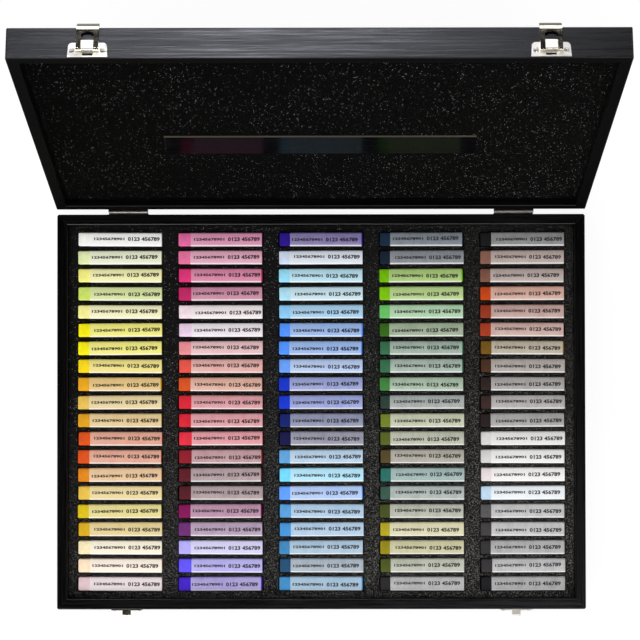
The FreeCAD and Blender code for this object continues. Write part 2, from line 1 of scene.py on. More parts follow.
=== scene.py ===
"""A black wooden case with its lid open, holding a hundred sleeved soft pastel sticks in foam.

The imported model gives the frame. Its wood and metal keep their shapes and get their finishes here,
and the foam, the sticks and their paper sleeves are rebuilt with the detail of the real ones.
"""

from __future__ import annotations

import logging
import math
import random
from collections.abc import Callable, Sequence
from dataclasses import dataclass
from enum import Enum

import bmesh
import bpy
from mathutils import Euler, Matrix, Vector, noise


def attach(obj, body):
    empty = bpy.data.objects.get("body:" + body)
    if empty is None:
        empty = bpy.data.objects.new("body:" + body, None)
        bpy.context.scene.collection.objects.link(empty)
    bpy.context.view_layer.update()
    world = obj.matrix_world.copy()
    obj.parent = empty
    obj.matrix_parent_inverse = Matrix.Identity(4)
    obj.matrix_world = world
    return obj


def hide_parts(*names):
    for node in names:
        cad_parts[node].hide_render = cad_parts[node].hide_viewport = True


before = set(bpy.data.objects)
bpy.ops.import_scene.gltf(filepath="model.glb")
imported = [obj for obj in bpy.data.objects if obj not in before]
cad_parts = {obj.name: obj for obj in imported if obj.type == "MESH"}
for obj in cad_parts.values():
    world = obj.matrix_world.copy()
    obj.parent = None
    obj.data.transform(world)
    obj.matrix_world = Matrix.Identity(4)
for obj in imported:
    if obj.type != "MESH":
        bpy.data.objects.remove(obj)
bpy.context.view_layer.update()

MM = 0.001  # in metres
MM_PER_M = 1000.0

log = logging.getLogger("pastel_case")

Colour = tuple[float, float, float, float]
Point = tuple[float, float, float]
Span = tuple[float, float]


@dataclass(frozen=True)
class Layout:
    """The measures that several parts of the case share, in millimetres and degrees."""

    half_width: float = 196.0  # of the foam, wall to wall
    half_depth: float = 144.5
    columns: int = 5
    rows: int = 20
    column_pitch: float = 78.0
    row_pitch: float = 14.04
    lid_angle: float = 105.0

    def slot(self, column: int, row: int) -> Span:
        """Finds the middle of a slot.

        Args:
            column: The slot's column, from 0 at the left.
            row: Its row, from 0 at the hinge side.

        Returns:
            Its place along X and Y.
        """
        return (
            (column - (self.columns - 1) / 2) * self.column_pitch,
            ((self.rows - 1) / 2 - row) * self.row_pitch,
        )


LAYOUT = Layout()


# ---------------------------------------------------------------- colours


def srgb(hex_colour: str) -> tuple[float, float, float]:
    """Reads a colour as three sRGB shares.

    Args:
        hex_colour: Six hex digits, such as "F4F4EE".

    Returns:
        Red, green and blue from 0 to 1, still sRGB encoded.
    """
    return tuple(int(hex_colour[i : i + 2], 16) / 255 for i in (0, 2, 4))


def linear(colour: str | Sequence[float]) -> Colour:
    """Turns an sRGB colour into the linear one that shaders take.

    Args:
        colour: Six hex digits, or three sRGB shares.

    Returns:
        Linear red, green and blue with an alpha of 1.
    """
    shares = srgb(colour) if isinstance(colour, str) else colour
    decoded = [s / 12.92 if s <= 0.04045 else ((s + 0.055) / 1.055) ** 2.4 for s in shares]
    return (*decoded, 1.0)


def blended(first: Sequence[float], second: Sequence[float], share: float) -> tuple[float, ...]:
    """Mixes two sRGB colours.

    Args:
        first: The colour at a share of 0.
        second: The colour at a share of 1.
        share: How much of the second colour there is.

    Returns:
        The mixed sRGB shares.
    """
    return tuple(a * (1 - share) + b * share for a, b in zip(first, second))


class Pigment(Enum):
    """The full-strength colours that the sticks are pressed from, as sRGB hex."""

    TITANIUM_WHITE = "F6F5F0"
    LEMON = "F8EE10"
    CADMIUM_YELLOW = "F8D818"
    SPRING_GREEN = "BEDC3C"
    OCHRE = "DDAE20"
    AMBER = "E6A41C"
    NAPLES = "EFC55A"
    ORANGE = "E88C1C"
    FLAME = "E2541A"
    VERMILION = "E03A2A"
    CARMINE = "DC2638"
    ROSE = "DE2C72"
    PINK = "E0609A"
    MADDER = "8E1A32"
    AUBERGINE = "841456"
    MAUVE = "7A3480"
    LILAC = "D898D8"
    VIOLET = "4624C8"
    BLUE_VIOLET = "5A4AEE"
    DARK_VIOLET = "2C1290"
    ULTRAMARINE = "183AD8"
    AZURE = "3C86FF"
    SKY = "56B8FF"
    TURQUOISE = "5CD2FF"
    CERULEAN = "3C8CD0"
    PRUSSIAN = "1A3A5C"
    INDIGO = "1A1A60"
    LEAF = "78C400"
    EMERALD = "5ABE58"
    SAP = "3F7E1C"
    FIR = "2E6844"
    VIRIDIAN = "2C7066"
    MUSTARD = "A89A18"
    SIENNA = "86601A"
    BURNT_ORANGE = "D24A16"
    BRICK = "AE3E22"
    TAN = "86594A"
    UMBER = "4A3020"
    MAROON = "5A1C24"
    IVORY_BLACK = "201E20"
    APRICOT = "F6C890"
    SLATE_GREEN = "3A5A4C"


TINT_WHITE = srgb("F8F7F4")
SHADE_BLACK = srgb("101012")
SLEEVE_PAPER = srgb("F6F5F4")
LUMA = (0.3, 0.5, 0.2)  # how bright red, green and blue look next to each other
PAPER_VEIL = 0.22  # how much of a stick's colour is lost to grey under the paper


@dataclass(frozen=True)
class Shade:
    """One stick's colour: a pigment let down with white, or darkened where tint is below 0.

    Its cover is how much of the stick the paper hides.
    """

    pigment: Pigment
    tint: float = 0.0
    cover: float = 0.62

    def body(self) -> tuple[float, ...]:
        """Works out the bare stick's colour.

        Returns:
            Its sRGB shares.
        """
        other = TINT_WHITE if self.tint >= 0 else SHADE_BLACK
        return blended(srgb(self.pigment.value), other, abs(self.tint))

    def through_paper(self) -> tuple[float, ...]:
        """Works out the colour seen through the sleeve.

        Returns:
            Its sRGB shares.
        """
        body = self.body()
        grey = sum(weight * share for weight, share in zip(LUMA, body))
        return blended(blended(body, (grey,) * 3, PAPER_VEIL), SLEEVE_PAPER, self.cover)


# ---------------------------------------------------------------- shader nodes

Sockets = dict[str | int, object]

# The sockets of a Mix node that mixes colours.
MIX_A, MIX_B, MIX_OUT = 6, 7, 2


def fill_sockets(tree: bpy.types.NodeTree, node: bpy.types.Node, sockets: Sockets) -> None:
    """Gives a node its socket values and links.

    Args:
        tree: The node tree that holds the node.
        node: The node.
        sockets: Input name or index to a value, or to an output socket to link from.
    """
    for key, value in sockets.items():
        if isinstance(value, bpy.types.NodeSocket):
            tree.links.new(value, node.inputs[key])
        else:
            node.inputs[key].default_value = value


def add_node(
    tree: bpy.types.NodeTree, kind: str, sockets: Sockets | None = None, **settings: object
) -> bpy.types.Node:
    """Adds a node with its settings, socket values and links.

    Args:
        tree: The node tree to add to.
        kind: The node's type, such as "ShaderNodeMapRange".
        sockets: Input name or index to a value, or to an output socket to link from.
        **settings: Properties of the node itself.

    Returns:
        The new node.
    """
    node = tree.nodes.new(kind)
    for name, value in settings.items():
        setattr(node, name, value)
    fill_sockets(tree, node, sockets or {})
    return node


def new_material(name: str) -> tuple[bpy.types.Material, bpy.types.NodeTree, bpy.types.Node]:
    """Makes a material with one Principled shader.

    Args:
        name: The material's name: the real material and its finish.

    Returns:
        The material, its node tree and the shader node.
    """
    material = bpy.data.materials.new(name)
    material.use_nodes = True
    tree = material.node_tree
    tree.nodes.clear()
    shader = add_node(tree, "ShaderNodeBsdfPrincipled")
    add_node(tree, "ShaderNodeOutputMaterial", {"Surface": shader.outputs["BSDF"]})
    return material, tree, shader


@dataclass(frozen=True)
class StainedWood:
    """Close-grained hardwood stained black and sprayed with satin lacquer.

    The stain hides nearly all colour, so the eye sees the wood only as fine streaks in the shine.
    """

    name: str
    grain: Point  # how the pattern is turned so that its long direction is X, in degrees
    stain: str = "020202"
    streak: str = "080607"
    # Pale edge colour: lacquer rubbed through, and a painted highlight along the rounded edges.
    worn: str = "34302E"
    roughness: float = 0.28
    gloss: float = 0.42
    matt_inside: bool = False
    fibre_length_mm: float = 26.0
    fibre_width_mm: float = 0.6  # real fibres are finer: this is as coarse as they need to show
    figure_width_mm: float = 1.7
    figure_length: float = 3.0  # in lengths of a fibre
    edge_mm: float = 0.9
    pore_depth_mm: float = 0.09
    streak_span: Span = (0.42, 0.66)
    rub_span: Span = (0.985, 0.86)  # how far an edge has rounded where the rub and its painted highlight start and end
    rub_share: float = 0.55
    polish_span: Span = (0.3, 0.7)
    polish_swing: Span = (-0.1, 0.14)
    matt_roughness: float = 0.62
    matt_gloss: float = 0.03
    inward_span: Span = (-0.3, -0.7)

    def build(self) -> bpy.types.Material:
        """Builds the material's nodes.

        Returns:
            The material.
        """
        material, tree, shader = new_material(self.name)
        where = add_node(tree, "ShaderNodeTexCoord").outputs
        turned = add_node(
            tree,
            "ShaderNodeMapping",
            {"Vector": where["Object"], "Rotation": tuple(math.radians(a) for a in self.grain)},
        ).outputs["Vector"]
        # Fine fibres, and longer and broader bands of figure.
        patterns = []
        band = self.fibre_length_mm * self.figure_length
        for length, width, detail in (
            (self.fibre_length_mm, self.fibre_width_mm, {"Detail": 3.0, "Roughness": 0.6}),
            (band, self.figure_width_mm, {"Detail": 2.0, "Distortion": 0.4}),
        ):
            along, across = MM_PER_M / length, MM_PER_M / width
            drawn = add_node(
                tree, "ShaderNodeMapping", {"Vector": turned, "Scale": (along, across, across)}
            ).outputs["Vector"]
            patterns.append(
                add_node(
                    tree, "ShaderNodeTexNoise", {"Vector": drawn, "Scale": 1.0, **detail}
                ).outputs["Fac"]
            )
        fibre, figure = patterns
        grain = add_node(
            tree, "ShaderNodeMix", {0: 0.5, 2: fibre, 3: figure}, data_type="FLOAT"
        ).outputs[0]
        streaky = add_node(
            tree,
            "ShaderNodeMapRange",
            {"Value": grain, "From Min": self.streak_span[0], "From Max": self.streak_span[1]},
        ).outputs["Result"]
        stained = add_node(
            tree,
            "ShaderNodeMix",
            {0: streaky, MIX_A: linear(self.stain), MIX_B: linear(self.streak)},
            data_type="RGBA",
        ).outputs[MIX_OUT]
        # Handling rubs the lacquer off the arrises first; the pale colour there is also a painted
        # highlight.
        rounded = add_node(
            tree, "ShaderNodeBevel", {"Radius": self.edge_mm * MM}, samples=4
        ).outputs["Normal"]
        flatness = add_node(
            tree,
            "ShaderNodeVectorMath",
            {0: rounded, 1: add_node(tree, "ShaderNodeNewGeometry").outputs["Normal"]},
            operation="DOT_PRODUCT",
        ).outputs["Value"]
        rub_and_highlight = add_node(
            tree,
            "ShaderNodeMapRange",
            {
                "Value": flatness,
                "From Min": self.rub_span[0],
                "From Max": self.rub_span[1],
                "To Max": self.rub_share,
            },
        ).outputs["Result"]
        patchy = add_node(
            tree, "ShaderNodeMath", {0: rub_and_highlight, 1: figure}, operation="MULTIPLY"
        ).outputs[0]
        base = add_node(
            tree,
            "ShaderNodeMix",
            {0: patchy, MIX_A: stained, MIX_B: linear(self.worn)},
            data_type="RGBA",
        ).outputs[MIX_OUT]
        polished = add_node(
            tree,
            "ShaderNodeMapRange",
            {
                "Value": grain,
                "From Min": self.polish_span[0],
                "From Max": self.polish_span[1],
                "To Min": self.roughness + self.polish_swing[0],
                "To Max": self.roughness + self.polish_swing[1],
            },
        ).outputs["Result"]
        # Inside the lid, where its lining hides most of it, the wood is left dead matt.
        facing = add_node(tree, "ShaderNodeSeparateXYZ", {0: where["Normal"]}).outputs["Y"]
        inward = add_node(
            tree,
            "ShaderNodeMapRange",
            {
                "Value": facing,
                "From Min": self.inward_span[0],
                "From Max": self.inward_span[1],
                "To Max": 1.0 if self.matt_inside else 0.0,
            },
        ).outputs["Result"]
        shine = add_node(
            tree,
            "ShaderNodeMix",
            {0: inward, 2: polished, 3: self.matt_roughness},
            data_type="FLOAT",
        ).outputs[0]
        level = add_node(
            tree,
            "ShaderNodeMapRange",
            {"Value": inward, "To Min": self.gloss, "To Max": self.matt_gloss},
        ).outputs["Result"]
        pores = add_node(
            tree,
            "ShaderNodeBump",
            {"Height": grain, "Strength": 0.6, "Distance": self.pore_depth_mm * MM},
        ).outputs["Normal"]
        finish = {
            "Base Color": base,
            "Roughness": shine,
            "Normal": pores,
            "Specular IOR Level": level,
        }
        fill_sockets(tree, shader, finish)
        return material


@dataclass(frozen=True)
class BlackFoam:
    """Black closed-cell foam sheet, cut to size.

    Its burst surface cells are matt black, with pale pastel dust in it.
    Its cell walls and flecks have painted glints.
    """

    name: str
    foam: str = "030303"
    # Pale cell walls and flecks are painted glints; the flecks also stand for pastel dust.
    cell_wall: str = "A6A29C"
    fleck: str = "ECEAEC"
    cell_mm: float = 0.7  # a few real cells wide, as one alone is too fine to show
    cell_span: Span = (0.54, 0.74)
    dent_mm: float = 0.3
    fleck_spacing_mm: float = 1.2
    fleck_share: float = 0.55
    fleck_strength: Span = (0.45, 0.3)  # at the two ends of the dust and painted sheen
    fleck_size: float = 0.26
    fleck_core: float = 0.6
    fleck_rarity: float = 1.0
    fleck_stretch: Point = (1.0, 1.0, 1.0)
    fleck_drift: float = 1.0
    drift_mm: float = 50.0
    glint: float = 0.25
    dust: Span = (0.05, 1.0)
    dust_way: Point = (0.55, -1.0, 0.0)
    dust_span: Span = (-130.0, 190.0)

    def build(self) -> bpy.types.Material:
        """Builds the material's nodes.

        Returns:
            The material.
        """
        material, tree, shader = new_material(self.name)
        where = add_node(tree, "ShaderNodeTexCoord").outputs["Object"]
        place = add_node(
            tree, "ShaderNodeMapping", {"Vector": where, "Scale": (MM_PER_M,) * 3}
        ).outputs["Vector"]
        cells = add_node(
            tree,
            "ShaderNodeTexNoise",
            {"Vector": place, "Scale": 1 / self.cell_mm, "Detail": 2.0, "Roughness": 0.7},
        ).outputs["Fac"]
        # Towards one corner the cell walls' painted sheen grows, and the flecks change in strength.
        along = add_node(
            tree, "ShaderNodeVectorMath", {0: place, 1: self.dust_way}, operation="DOT_PRODUCT"
        ).outputs["Value"]
        dust, strength = (
            add_node(
                tree,
                "ShaderNodeMapRange",
                {
                    "Value": along,
                    "From Min": self.dust_span[0],
                    "From Max": self.dust_span[1],
                    "To Min": least,
                    "To Max": most,
                },
            ).outputs["Result"]
            for least, most in (self.dust, self.fleck_strength)
        )
        burst = add_node(
            tree,
            "ShaderNodeMapRange",
            {
                "Value": cells,
                "From Min": self.cell_span[0],
                "From Max": self.cell_span[1],
                "To Max": dust,
            },
        ).outputs["Result"]
        foam = add_node(
            tree,
            "ShaderNodeMix",
            {0: burst, MIX_A: linear(self.foam), MIX_B: linear(self.cell_wall)},
            data_type="RGBA",
        ).outputs[MIX_OUT]
        drawn = add_node(
            tree, "ShaderNodeMapping", {"Vector": place, "Scale": self.fleck_stretch}
        ).outputs["Vector"]
        flecks = add_node(
            tree,
            "ShaderNodeTexVoronoi",
            {"Vector": drawn, "Scale": 1 / self.fleck_spacing_mm},
            feature="F1",
        ).outputs
        chance = add_node(
            tree, "ShaderNodeSeparateColor", {"Color": flecks["Color"]}
        ).outputs["Red"]
        drift = add_node(
            tree, "ShaderNodeTexNoise", {"Vector": place, "Scale": 1 / self.drift_mm, "Detail": 1.0}
        ).outputs["Fac"]
        middle = 0.5 * self.fleck_drift  # as the drift's noise swings about a half
        drifted = add_node(
            tree,
            "ShaderNodeMath",
            {0: drift, 1: self.fleck_drift, 2: chance},
            operation="MULTIPLY_ADD",
        ).outputs[0]
        picked = add_node(
            tree,
            "ShaderNodeMapRange",
            {
                "Value": drifted,
                "From Min": middle + self.fleck_share,
                "From Max": middle + 1.0,
            },
        ).outputs["Result"]
        # Most flecks are faint and a few are bright.
        bright = add_node(
            tree, "ShaderNodeMath", {0: picked, 1: self.fleck_rarity}, operation="POWER"
        ).outputs[0]
        spot = add_node(
            tree,
            "ShaderNodeMapRange",
            {
                "Value": flecks["Distance"],
                "From Min": self.fleck_size,
                "From Max": self.fleck_size * self.fleck_core,
                "To Max": strength,
            },
        ).outputs["Result"]
        amount = add_node(
            tree, "ShaderNodeMath", {0: bright, 1: spot}, operation="MULTIPLY"
        ).outputs[0]
        base = add_node(
            tree,
            "ShaderNodeMix",
            {0: amount, MIX_A: foam, MIX_B: linear(self.fleck)},
            data_type="RGBA",
        ).outputs[MIX_OUT]
        dents = add_node(
            tree,
            "ShaderNodeBump",
            {"Height": cells, "Strength": 0.6, "Distance": self.dent_mm * MM},
        ).outputs["Normal"]
        finish = {
            "Base Color": base,
            "Normal": dents,
            "Roughness": 0.9,
            "Specular IOR Level": self.glint,
        }
        fill_sockets(tree, shader, finish)
        return material


@dataclass(frozen=True)
class PressedPigment:
    """Pigment and chalk pressed in a mould with hardly any binder.

    Dead matt and a little crumbly, so its colour is even but for dust and small pits.
    """

    name: str = "pressed_pastel_pigment"
    grit_mm: float = 0.3  # real grit is finer: this is as coarse as it needs to show
    grit_depth_mm: float = 0.12
    smear_mm: float = 3.5
    smear_span: Span = (0.3, 0.7)
    smear_level: Span = (0.9, 1.07)
    pit_span: Span = (0.36, 0.24)
    pit_share: float = 0.35
    pit_level: float = 0.55

    def build(self) -> bpy.types.Material:
        """Builds the material's nodes.

        Returns:
            The material, which reads each stick's colour from the attribute "pigment".
        """
        material, tree, shader = new_material(self.name)
        place = add_node(tree, "ShaderNodeAttribute", attribute_name="spot").outputs["Vector"]
        seed = add_node(tree, "ShaderNodeAttribute", attribute_name="seed").outputs["Fac"]
        pigment = add_node(tree, "ShaderNodeAttribute", attribute_name="pigment").outputs["Color"]
        smear, grit = (
            add_node(
                tree,
                "ShaderNodeTexNoise",
                {"Vector": place, "W": seed, "Scale": 1 / size, "Detail": detail},
                noise_dimensions="4D",
            ).outputs["Fac"]
            for size, detail in ((self.smear_mm, 3.0), (self.grit_mm, 2.0))
        )
        level = add_node(
            tree,
            "ShaderNodeMapRange",
            {
                "Value": smear,
                "From Min": self.smear_span[0],
                "From Max": self.smear_span[1],
                "To Min": self.smear_level[0],
                "To Max": self.smear_level[1],
            },
        ).outputs["Result"]
        # The pits, where the bump is lowest, are painted darker: painted shade in them.
        toned, shaded_pits = (
            add_node(
                tree, "ShaderNodeHueSaturation", {"Value": value, "Color": pigment}
            ).outputs["Color"]
            for value in (level, self.pit_level)
        )
        pits = add_node(
            tree,
            "ShaderNodeMapRange",
            {
                "Value": grit,
                "From Min": self.pit_span[0],
                "From Max": self.pit_span[1],
                "To Max": self.pit_share,
            },
        ).outputs["Result"]
        base = add_node(
            tree, "ShaderNodeMix", {0: pits, MIX_A: toned, MIX_B: shaded_pits}, data_type="RGBA"
        ).outputs[MIX_OUT]
        grain = add_node(
            tree,
            "ShaderNodeBump",
            {"Height": grit, "Strength": 0.5, "Distance": self.grit_depth_mm * MM},
        ).outputs["Normal"]
        finish = {
            "Base Color": base,
            "Normal": grain,
            "Roughness": 0.95,
            "Specular IOR Level": 0.2,
        }
        fill_sockets(tree, shader, finish)
        return material


@dataclass(frozen=True)
class SleevePaper:
    """Thin uncoated label paper rolled round a stick and glued.

    The stick's colour shows through where the paper lies tight. Along the rounded front edge,
    which faces the light, a painted highlight keeps the paper paler.
    """

    name: str = "thin_label_paper"
    cloud_mm: float = 6.0
    crease_mm: float = 1.4
    crease_share: float = 0.1  # how much of a crease's pattern is left round the stick
    fibre_mm: float = 0.35  # real fibres are finer: this is as coarse as they need to show
    relief_mm: float = 0.1
    tight_span: Span = (0.45, 0.75)
    tight_share: float = 0.3
    half_width_mm: float = 5.3
    lift_span_mm: Span = (1.3, 0.6)  # measured in from the front face
    lift_share: float = 0.7

    def build(self) -> bpy.types.Material:
        """Builds the material's nodes.

        Returns:
            The material, which reads the attributes "pigment" and "tint" of each sleeve.
        """
        material, tree, shader = new_material(self.name)
        place = add_node(tree, "ShaderNodeAttribute", attribute_name="spot").outputs["Vector"]
        seed = add_node(tree, "ShaderNodeAttribute", attribute_name="seed").outputs["Fac"]
        pigment, tint = (
            add_node(tree, "ShaderNodeAttribute", attribute_name=name).outputs["Color"]
            for name in ("pigment", "tint")
        )
        # The creases run round the stick, so their pattern is drawn out that way.
        wide = self.crease_share / self.crease_mm
        across = add_node(
            tree,
            "ShaderNodeMapping",
            {"Vector": place, "Scale": (1 / self.crease_mm, wide, wide)},
        ).outputs["Vector"]
        cloud, crease, fibre = (
            add_node(
                tree,
                "ShaderNodeTexNoise",
                {"Vector": drawn, "W": seed, "Scale": scale, "Detail": 2.0},
                noise_dimensions="4D",
            ).outputs["Fac"]
            for drawn, scale in (
                (place, 1 / self.cloud_mm),
                (across, 1.0),
                (place, 1 / self.fibre_mm),
            )
        )
        contact = add_node(
            tree, "ShaderNodeMix", {0: 0.4, 2: cloud, 3: crease}, data_type="FLOAT"
        ).outputs[0]
        touching = add_node(
            tree,
            "ShaderNodeMapRange",
            {
                "Value": contact,
                "From Min": self.tight_span[0],
                "From Max": self.tight_span[1],
                "To Max": self.tight_share,
            },
        ).outputs["Result"]
        tight = add_node(
            tree, "ShaderNodeMix", {0: touching, MIX_A: tint, MIX_B: pigment}, data_type="RGBA"
        ).outputs[MIX_OUT]
        # Painted highlight: the paper is paler along the rounded front edge, which faces the light.
        sideways = add_node(tree, "ShaderNodeSeparateXYZ", {0: place}).outputs["Y"]
        front_edge_highlight = add_node(
            tree,
            "ShaderNodeMapRange",
            {
                "Value": sideways,
                "From Min": -self.half_width_mm + self.lift_span_mm[0],
                "From Max": -self.half_width_mm + self.lift_span_mm[1],
                "To Max": self.lift_share,
            },
        ).outputs["Result"]
        base = add_node(
            tree,
            "ShaderNodeMix",
            {0: front_edge_highlight, MIX_A: tight, MIX_B: linear(SLEEVE_PAPER)},
            data_type="RGBA",
        ).outputs[MIX_OUT]
        relief = add_node(
            tree, "ShaderNodeMix", {0: 0.5, 2: crease, 3: fibre}, data_type="FLOAT"
        ).outputs[0]
        rough = add_node(
            tree,
            "ShaderNodeBump",
            {"Height": relief, "Strength": 0.35, "Distance": self.relief_mm * MM},
        ).outputs["Normal"]
        finish = {
            "Base Color": base,
            "Normal": rough,
            "Roughness": 0.55,
            "Specular IOR Level": 0.35,
        }
        fill_sockets(tree, shader, finish)
        return material


@dataclass(frozen=True)
class PrintingInk:
    """One dark grey flexographic ink, slightly broken where the paper is rough."""

    name: str = "dark_grey_printing_ink"
    ink: str = "0C0C10"
    thin: str = "2A282C"
    break_mm: float = 0.5
    thin_span: Span = (0.45, 0.7)

    def build(self) -> bpy.types.Material:
        """Builds the material's nodes.

        Returns:
            The material.
        """
        material, tree, shader = new_material(self.name)
        place = add_node(tree, "ShaderNodeTexCoord").outputs["Object"]
        cover = add_node(
            tree,
            "ShaderNodeTexNoise",
            {"Vector": place, "Scale": MM_PER_M / self.break_mm, "Detail": 2.0},
        ).outputs["Fac"]
        broken = add_node(
            tree,
            "ShaderNodeMapRange",
            {"Value": cover, "From Min": self.thin_span[0], "From Max": self.thin_span[1]},
        ).outputs["Result"]
        base = add_node(
            tree,
            "ShaderNodeMix",
            {0: broken, MIX_A: linear(self.ink), MIX_B: linear(self.thin)},
            data_type="RGBA",
        ).outputs[MIX_OUT]
        fill_sockets(tree, shader, {"Base Color": base, "Roughness": 0.6})
        return material


@dataclass(frozen=True)
class PlatedSteel:
    """Thin stamped steel with bright nickel plating, tumbled before plating.

    Strong soft-edged reflections, hairline scratches, and a warm tone next to chrome.
    """

    name: str
    plating: str = "D9D3C6"
    dull: str = "A39C8C"
    dull_span: Span = (0.5, 0.75)
    dull_share: float = 0.5
    roughness: float = 0.16
    polish_span: Span = (0.35, 0.65)
    polish_swing: Span = (-0.06, 0.1)
    cloud_mm: float = 6.0
    scratch_mm: float = 0.25  # real hairlines are finer: this is as coarse as they need to show
    scratch_depth_mm: float = 0.01
    scratch_turn: Point = (0.3, 0.2, 0.5)
    scratch_stretch: Point = (0.06, 1.0, 1.0)

    def build(self) -> bpy.types.Material:
        """Builds the material's nodes.

        Returns:
            The material.
        """
        material, tree, shader = new_material(self.name)
        where = add_node(tree, "ShaderNodeTexCoord").outputs["Object"]
        place = add_node(
            tree, "ShaderNodeMapping", {"Vector": where, "Scale": (MM_PER_M,) * 3}
        ).outputs["Vector"]
        lines = add_node(
            tree,
            "ShaderNodeMapping",
            {"Vector": place, "Rotation": self.scratch_turn, "Scale": self.scratch_stretch},
        ).outputs["Vector"]
        cloud, scratch = (
            add_node(
                tree, "ShaderNodeTexNoise", {"Vector": drawn, "Scale": 1 / size, "Detail": detail}
            ).outputs["Fac"]
            for drawn, size, detail in (
                (place, self.cloud_mm, 3.0),
                (lines, self.scratch_mm, 2.0),
            )
        )
        dulled = add_node(
            tree,
            "ShaderNodeMapRange",
            {
                "Value": cloud,
                "From Min": self.dull_span[0],
                "From Max": self.dull_span[1],
                "To Max": self.dull_share,
            },
        ).outputs["Result"]
        base = add_node(
            tree,
            "ShaderNodeMix",
            {0: dulled, MIX_A: linear(self.plating), MIX_B: linear(self.dull)},
            data_type="RGBA",
        ).outputs[MIX_OUT]
        uneven = add_node(
            tree, "ShaderNodeMix", {0: 0.5, 2: cloud, 3: scratch}, data_type="FLOAT"
        ).outputs[0]
        polish = add_node(
            tree,
            "ShaderNodeMapRange",
            {
                "Value": uneven,
                "From Min": self.polish_span[0],
                "From Max": self.polish_span[1],
                "To Min": self.roughness + self.polish_swing[0],
                "To Max": self.roughness + self.polish_swing[1],
            },
        ).outputs["Result"]
        hairlines = add_node(
            tree,
            "ShaderNodeBump",
            {"Height": scratch, "Strength": 0.15, "Distance": self.scratch_depth_mm * MM},
        ).outputs["Normal"]
        finish = {
            "Base Color": base,
            "Roughness": polish,
            "Normal": hairlines,
            "Metallic": 1.0,
        }
        fill_sockets(tree, shader, finish)
        return material


@dataclass(frozen=True)
class GlossAcrylic:
    """Cast black acrylic sheet with a flame-polished face: a clear dark mirror, faintly wiped."""

    name: str = "polished_black_acrylic"
    sheet: str = "050506"
    haze: str = "0C0C10"
    # the painted highlight on the plate's top edge
    edge: str = "5E5A52"
    edge_span: Span = (0.6, 0.8)
    roughness: float = 0.1
    polish_span: Span = (0.35, 0.7)
    polish_swing: float = 0.1
    index: float = 1.07  # under acrylic's 1.49, as the plate mirrors the room only faintly
    wipe_length_mm: float = 14.0
    wipe_width_mm: float = 3.0

    def build(self) -> bpy.types.Material:
        """Builds the material's nodes. The sawn top edge has a painted highlight.

        Returns:
            The material.
        """
        material, tree, shader = new_material(self.name)
        where = add_node(tree, "ShaderNodeTexCoord").outputs
        length, width = MM_PER_M / self.wipe_length_mm, MM_PER_M / self.wipe_width_mm
        place = add_node(
            tree,
            "ShaderNodeMapping",
            {"Vector": where["Object"], "Scale": (length, width, width)},
        ).outputs["Vector"]
        wipe = add_node(
            tree, "ShaderNodeTexNoise", {"Vector": place, "Scale": 1.0, "Detail": 3.0}
        ).outputs["Fac"]
        face = add_node(
            tree,
            "ShaderNodeMix",
            {0: wipe, MIX_A: linear(self.sheet), MIX_B: linear(self.haze)},
            data_type="RGBA",
        ).outputs[MIX_OUT]
        upward = add_node(tree, "ShaderNodeSeparateXYZ", {0: where["Normal"]}).outputs["Z"]
        # Painted highlight: the faces that turn upwards, along the top edge, get the pale edge
        # colour.
        painted_edge_highlight = add_node(
            tree,
            "ShaderNodeMapRange",
            {"Value": upward, "From Min": self.edge_span[0], "From Max": self.edge_span[1]},
        ).outputs["Result"]
        base = add_node(
            tree,
            "ShaderNodeMix",
            {0: painted_edge_highlight, MIX_A: face, MIX_B: linear(self.edge)},
            data_type="RGBA",
        ).outputs[MIX_OUT]
        polish = add_node(
            tree,
            "ShaderNodeMapRange",
            {
                "Value": wipe,
                "From Min": self.polish_span[0],
                "From Max": self.polish_span[1],
                "To Min": self.roughness,
                "To Max": self.roughness + self.polish_swing,
            },
        ).outputs["Result"]
        fill_sockets(tree, shader, {"Base Color": base, "Roughness": polish, "IOR": self.index})
        return material


# ---------------------------------------------------------------- meshes

SHARP_TURN = 1.0  # an edge that turns by more radians than this is a corner
EASED_REACH = 1.1  # all of an eased edge lies within this many of its widths
SLAB_RIPPLE: Point = (26.0, 26.0, 3.0)  # of a plain slab's top, as roughen_top takes it


def new_piece(
    mesh_data: bmesh.types.BMesh,
    name: str,
    body: str,
    material: bpy.types.Material,
    replaces: Sequence[str] = (),
    crease: float = 35.0,
) -> bpy.types.Object:
    """Turns a finished bmesh into a piece that rides on a body.

    Args:
        mesh_data: The shape in metres, in its place. It is freed.
        name: The piece's name.
        body: The body that it moves with.
        material: Its material.
        replaces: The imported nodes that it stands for.
        crease: Edges that turn more than this many degrees stay sharp.

    Returns:
        The new object.
    """
    mesh = bpy.data.meshes.new(name)
    mesh_data.to_mesh(mesh)
    mesh_data.free()
    mesh.materials.append(material)
    mesh.shade_smooth()
    mesh.set_sharp_from_angle(angle=math.radians(crease))
    piece = bpy.data.objects.new(name, mesh)
    bpy.context.scene.collection.objects.link(piece)
    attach(piece, body)
    if replaces:
        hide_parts(*replaces)
    log.info("%s: %d faces on %s", name, len(mesh.polygons), body)
    return piece


def dress_node(name: str, material: bpy.types.Material) -> None:
    """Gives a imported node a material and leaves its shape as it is.

    Args:
        name: The node's name.
        material: The material for all of it.
    """
    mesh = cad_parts[name].data
    mesh.materials.clear()
    mesh.materials.append(material)
    log.info("%s: %s", name, material.name)


def grid_sheet(
    mesh_data: bmesh.types.BMesh, xs: Sequence[float], ys: Sequence[float], z: float
) -> None:
    """Adds a flat sheet whose grid lines lie at given places.

    Args:
        mesh_data: The bmesh to add to, still empty.
        xs: Places of the lines across X, rising.
        ys: Places of the lines across Y, rising.
        z: Height of the sheet.
    """
    across, along = len(xs) - 1, len(ys) - 1
    bmesh.ops.create_grid(mesh_data, x_segments=across, y_segments=along, size=1.0)
    for vert in mesh_data.verts:
        i = round((vert.co.x + 1) / 2 * across)
        j = round((vert.co.y + 1) / 2 * along)
        vert.co = (xs[i], ys[j], z)


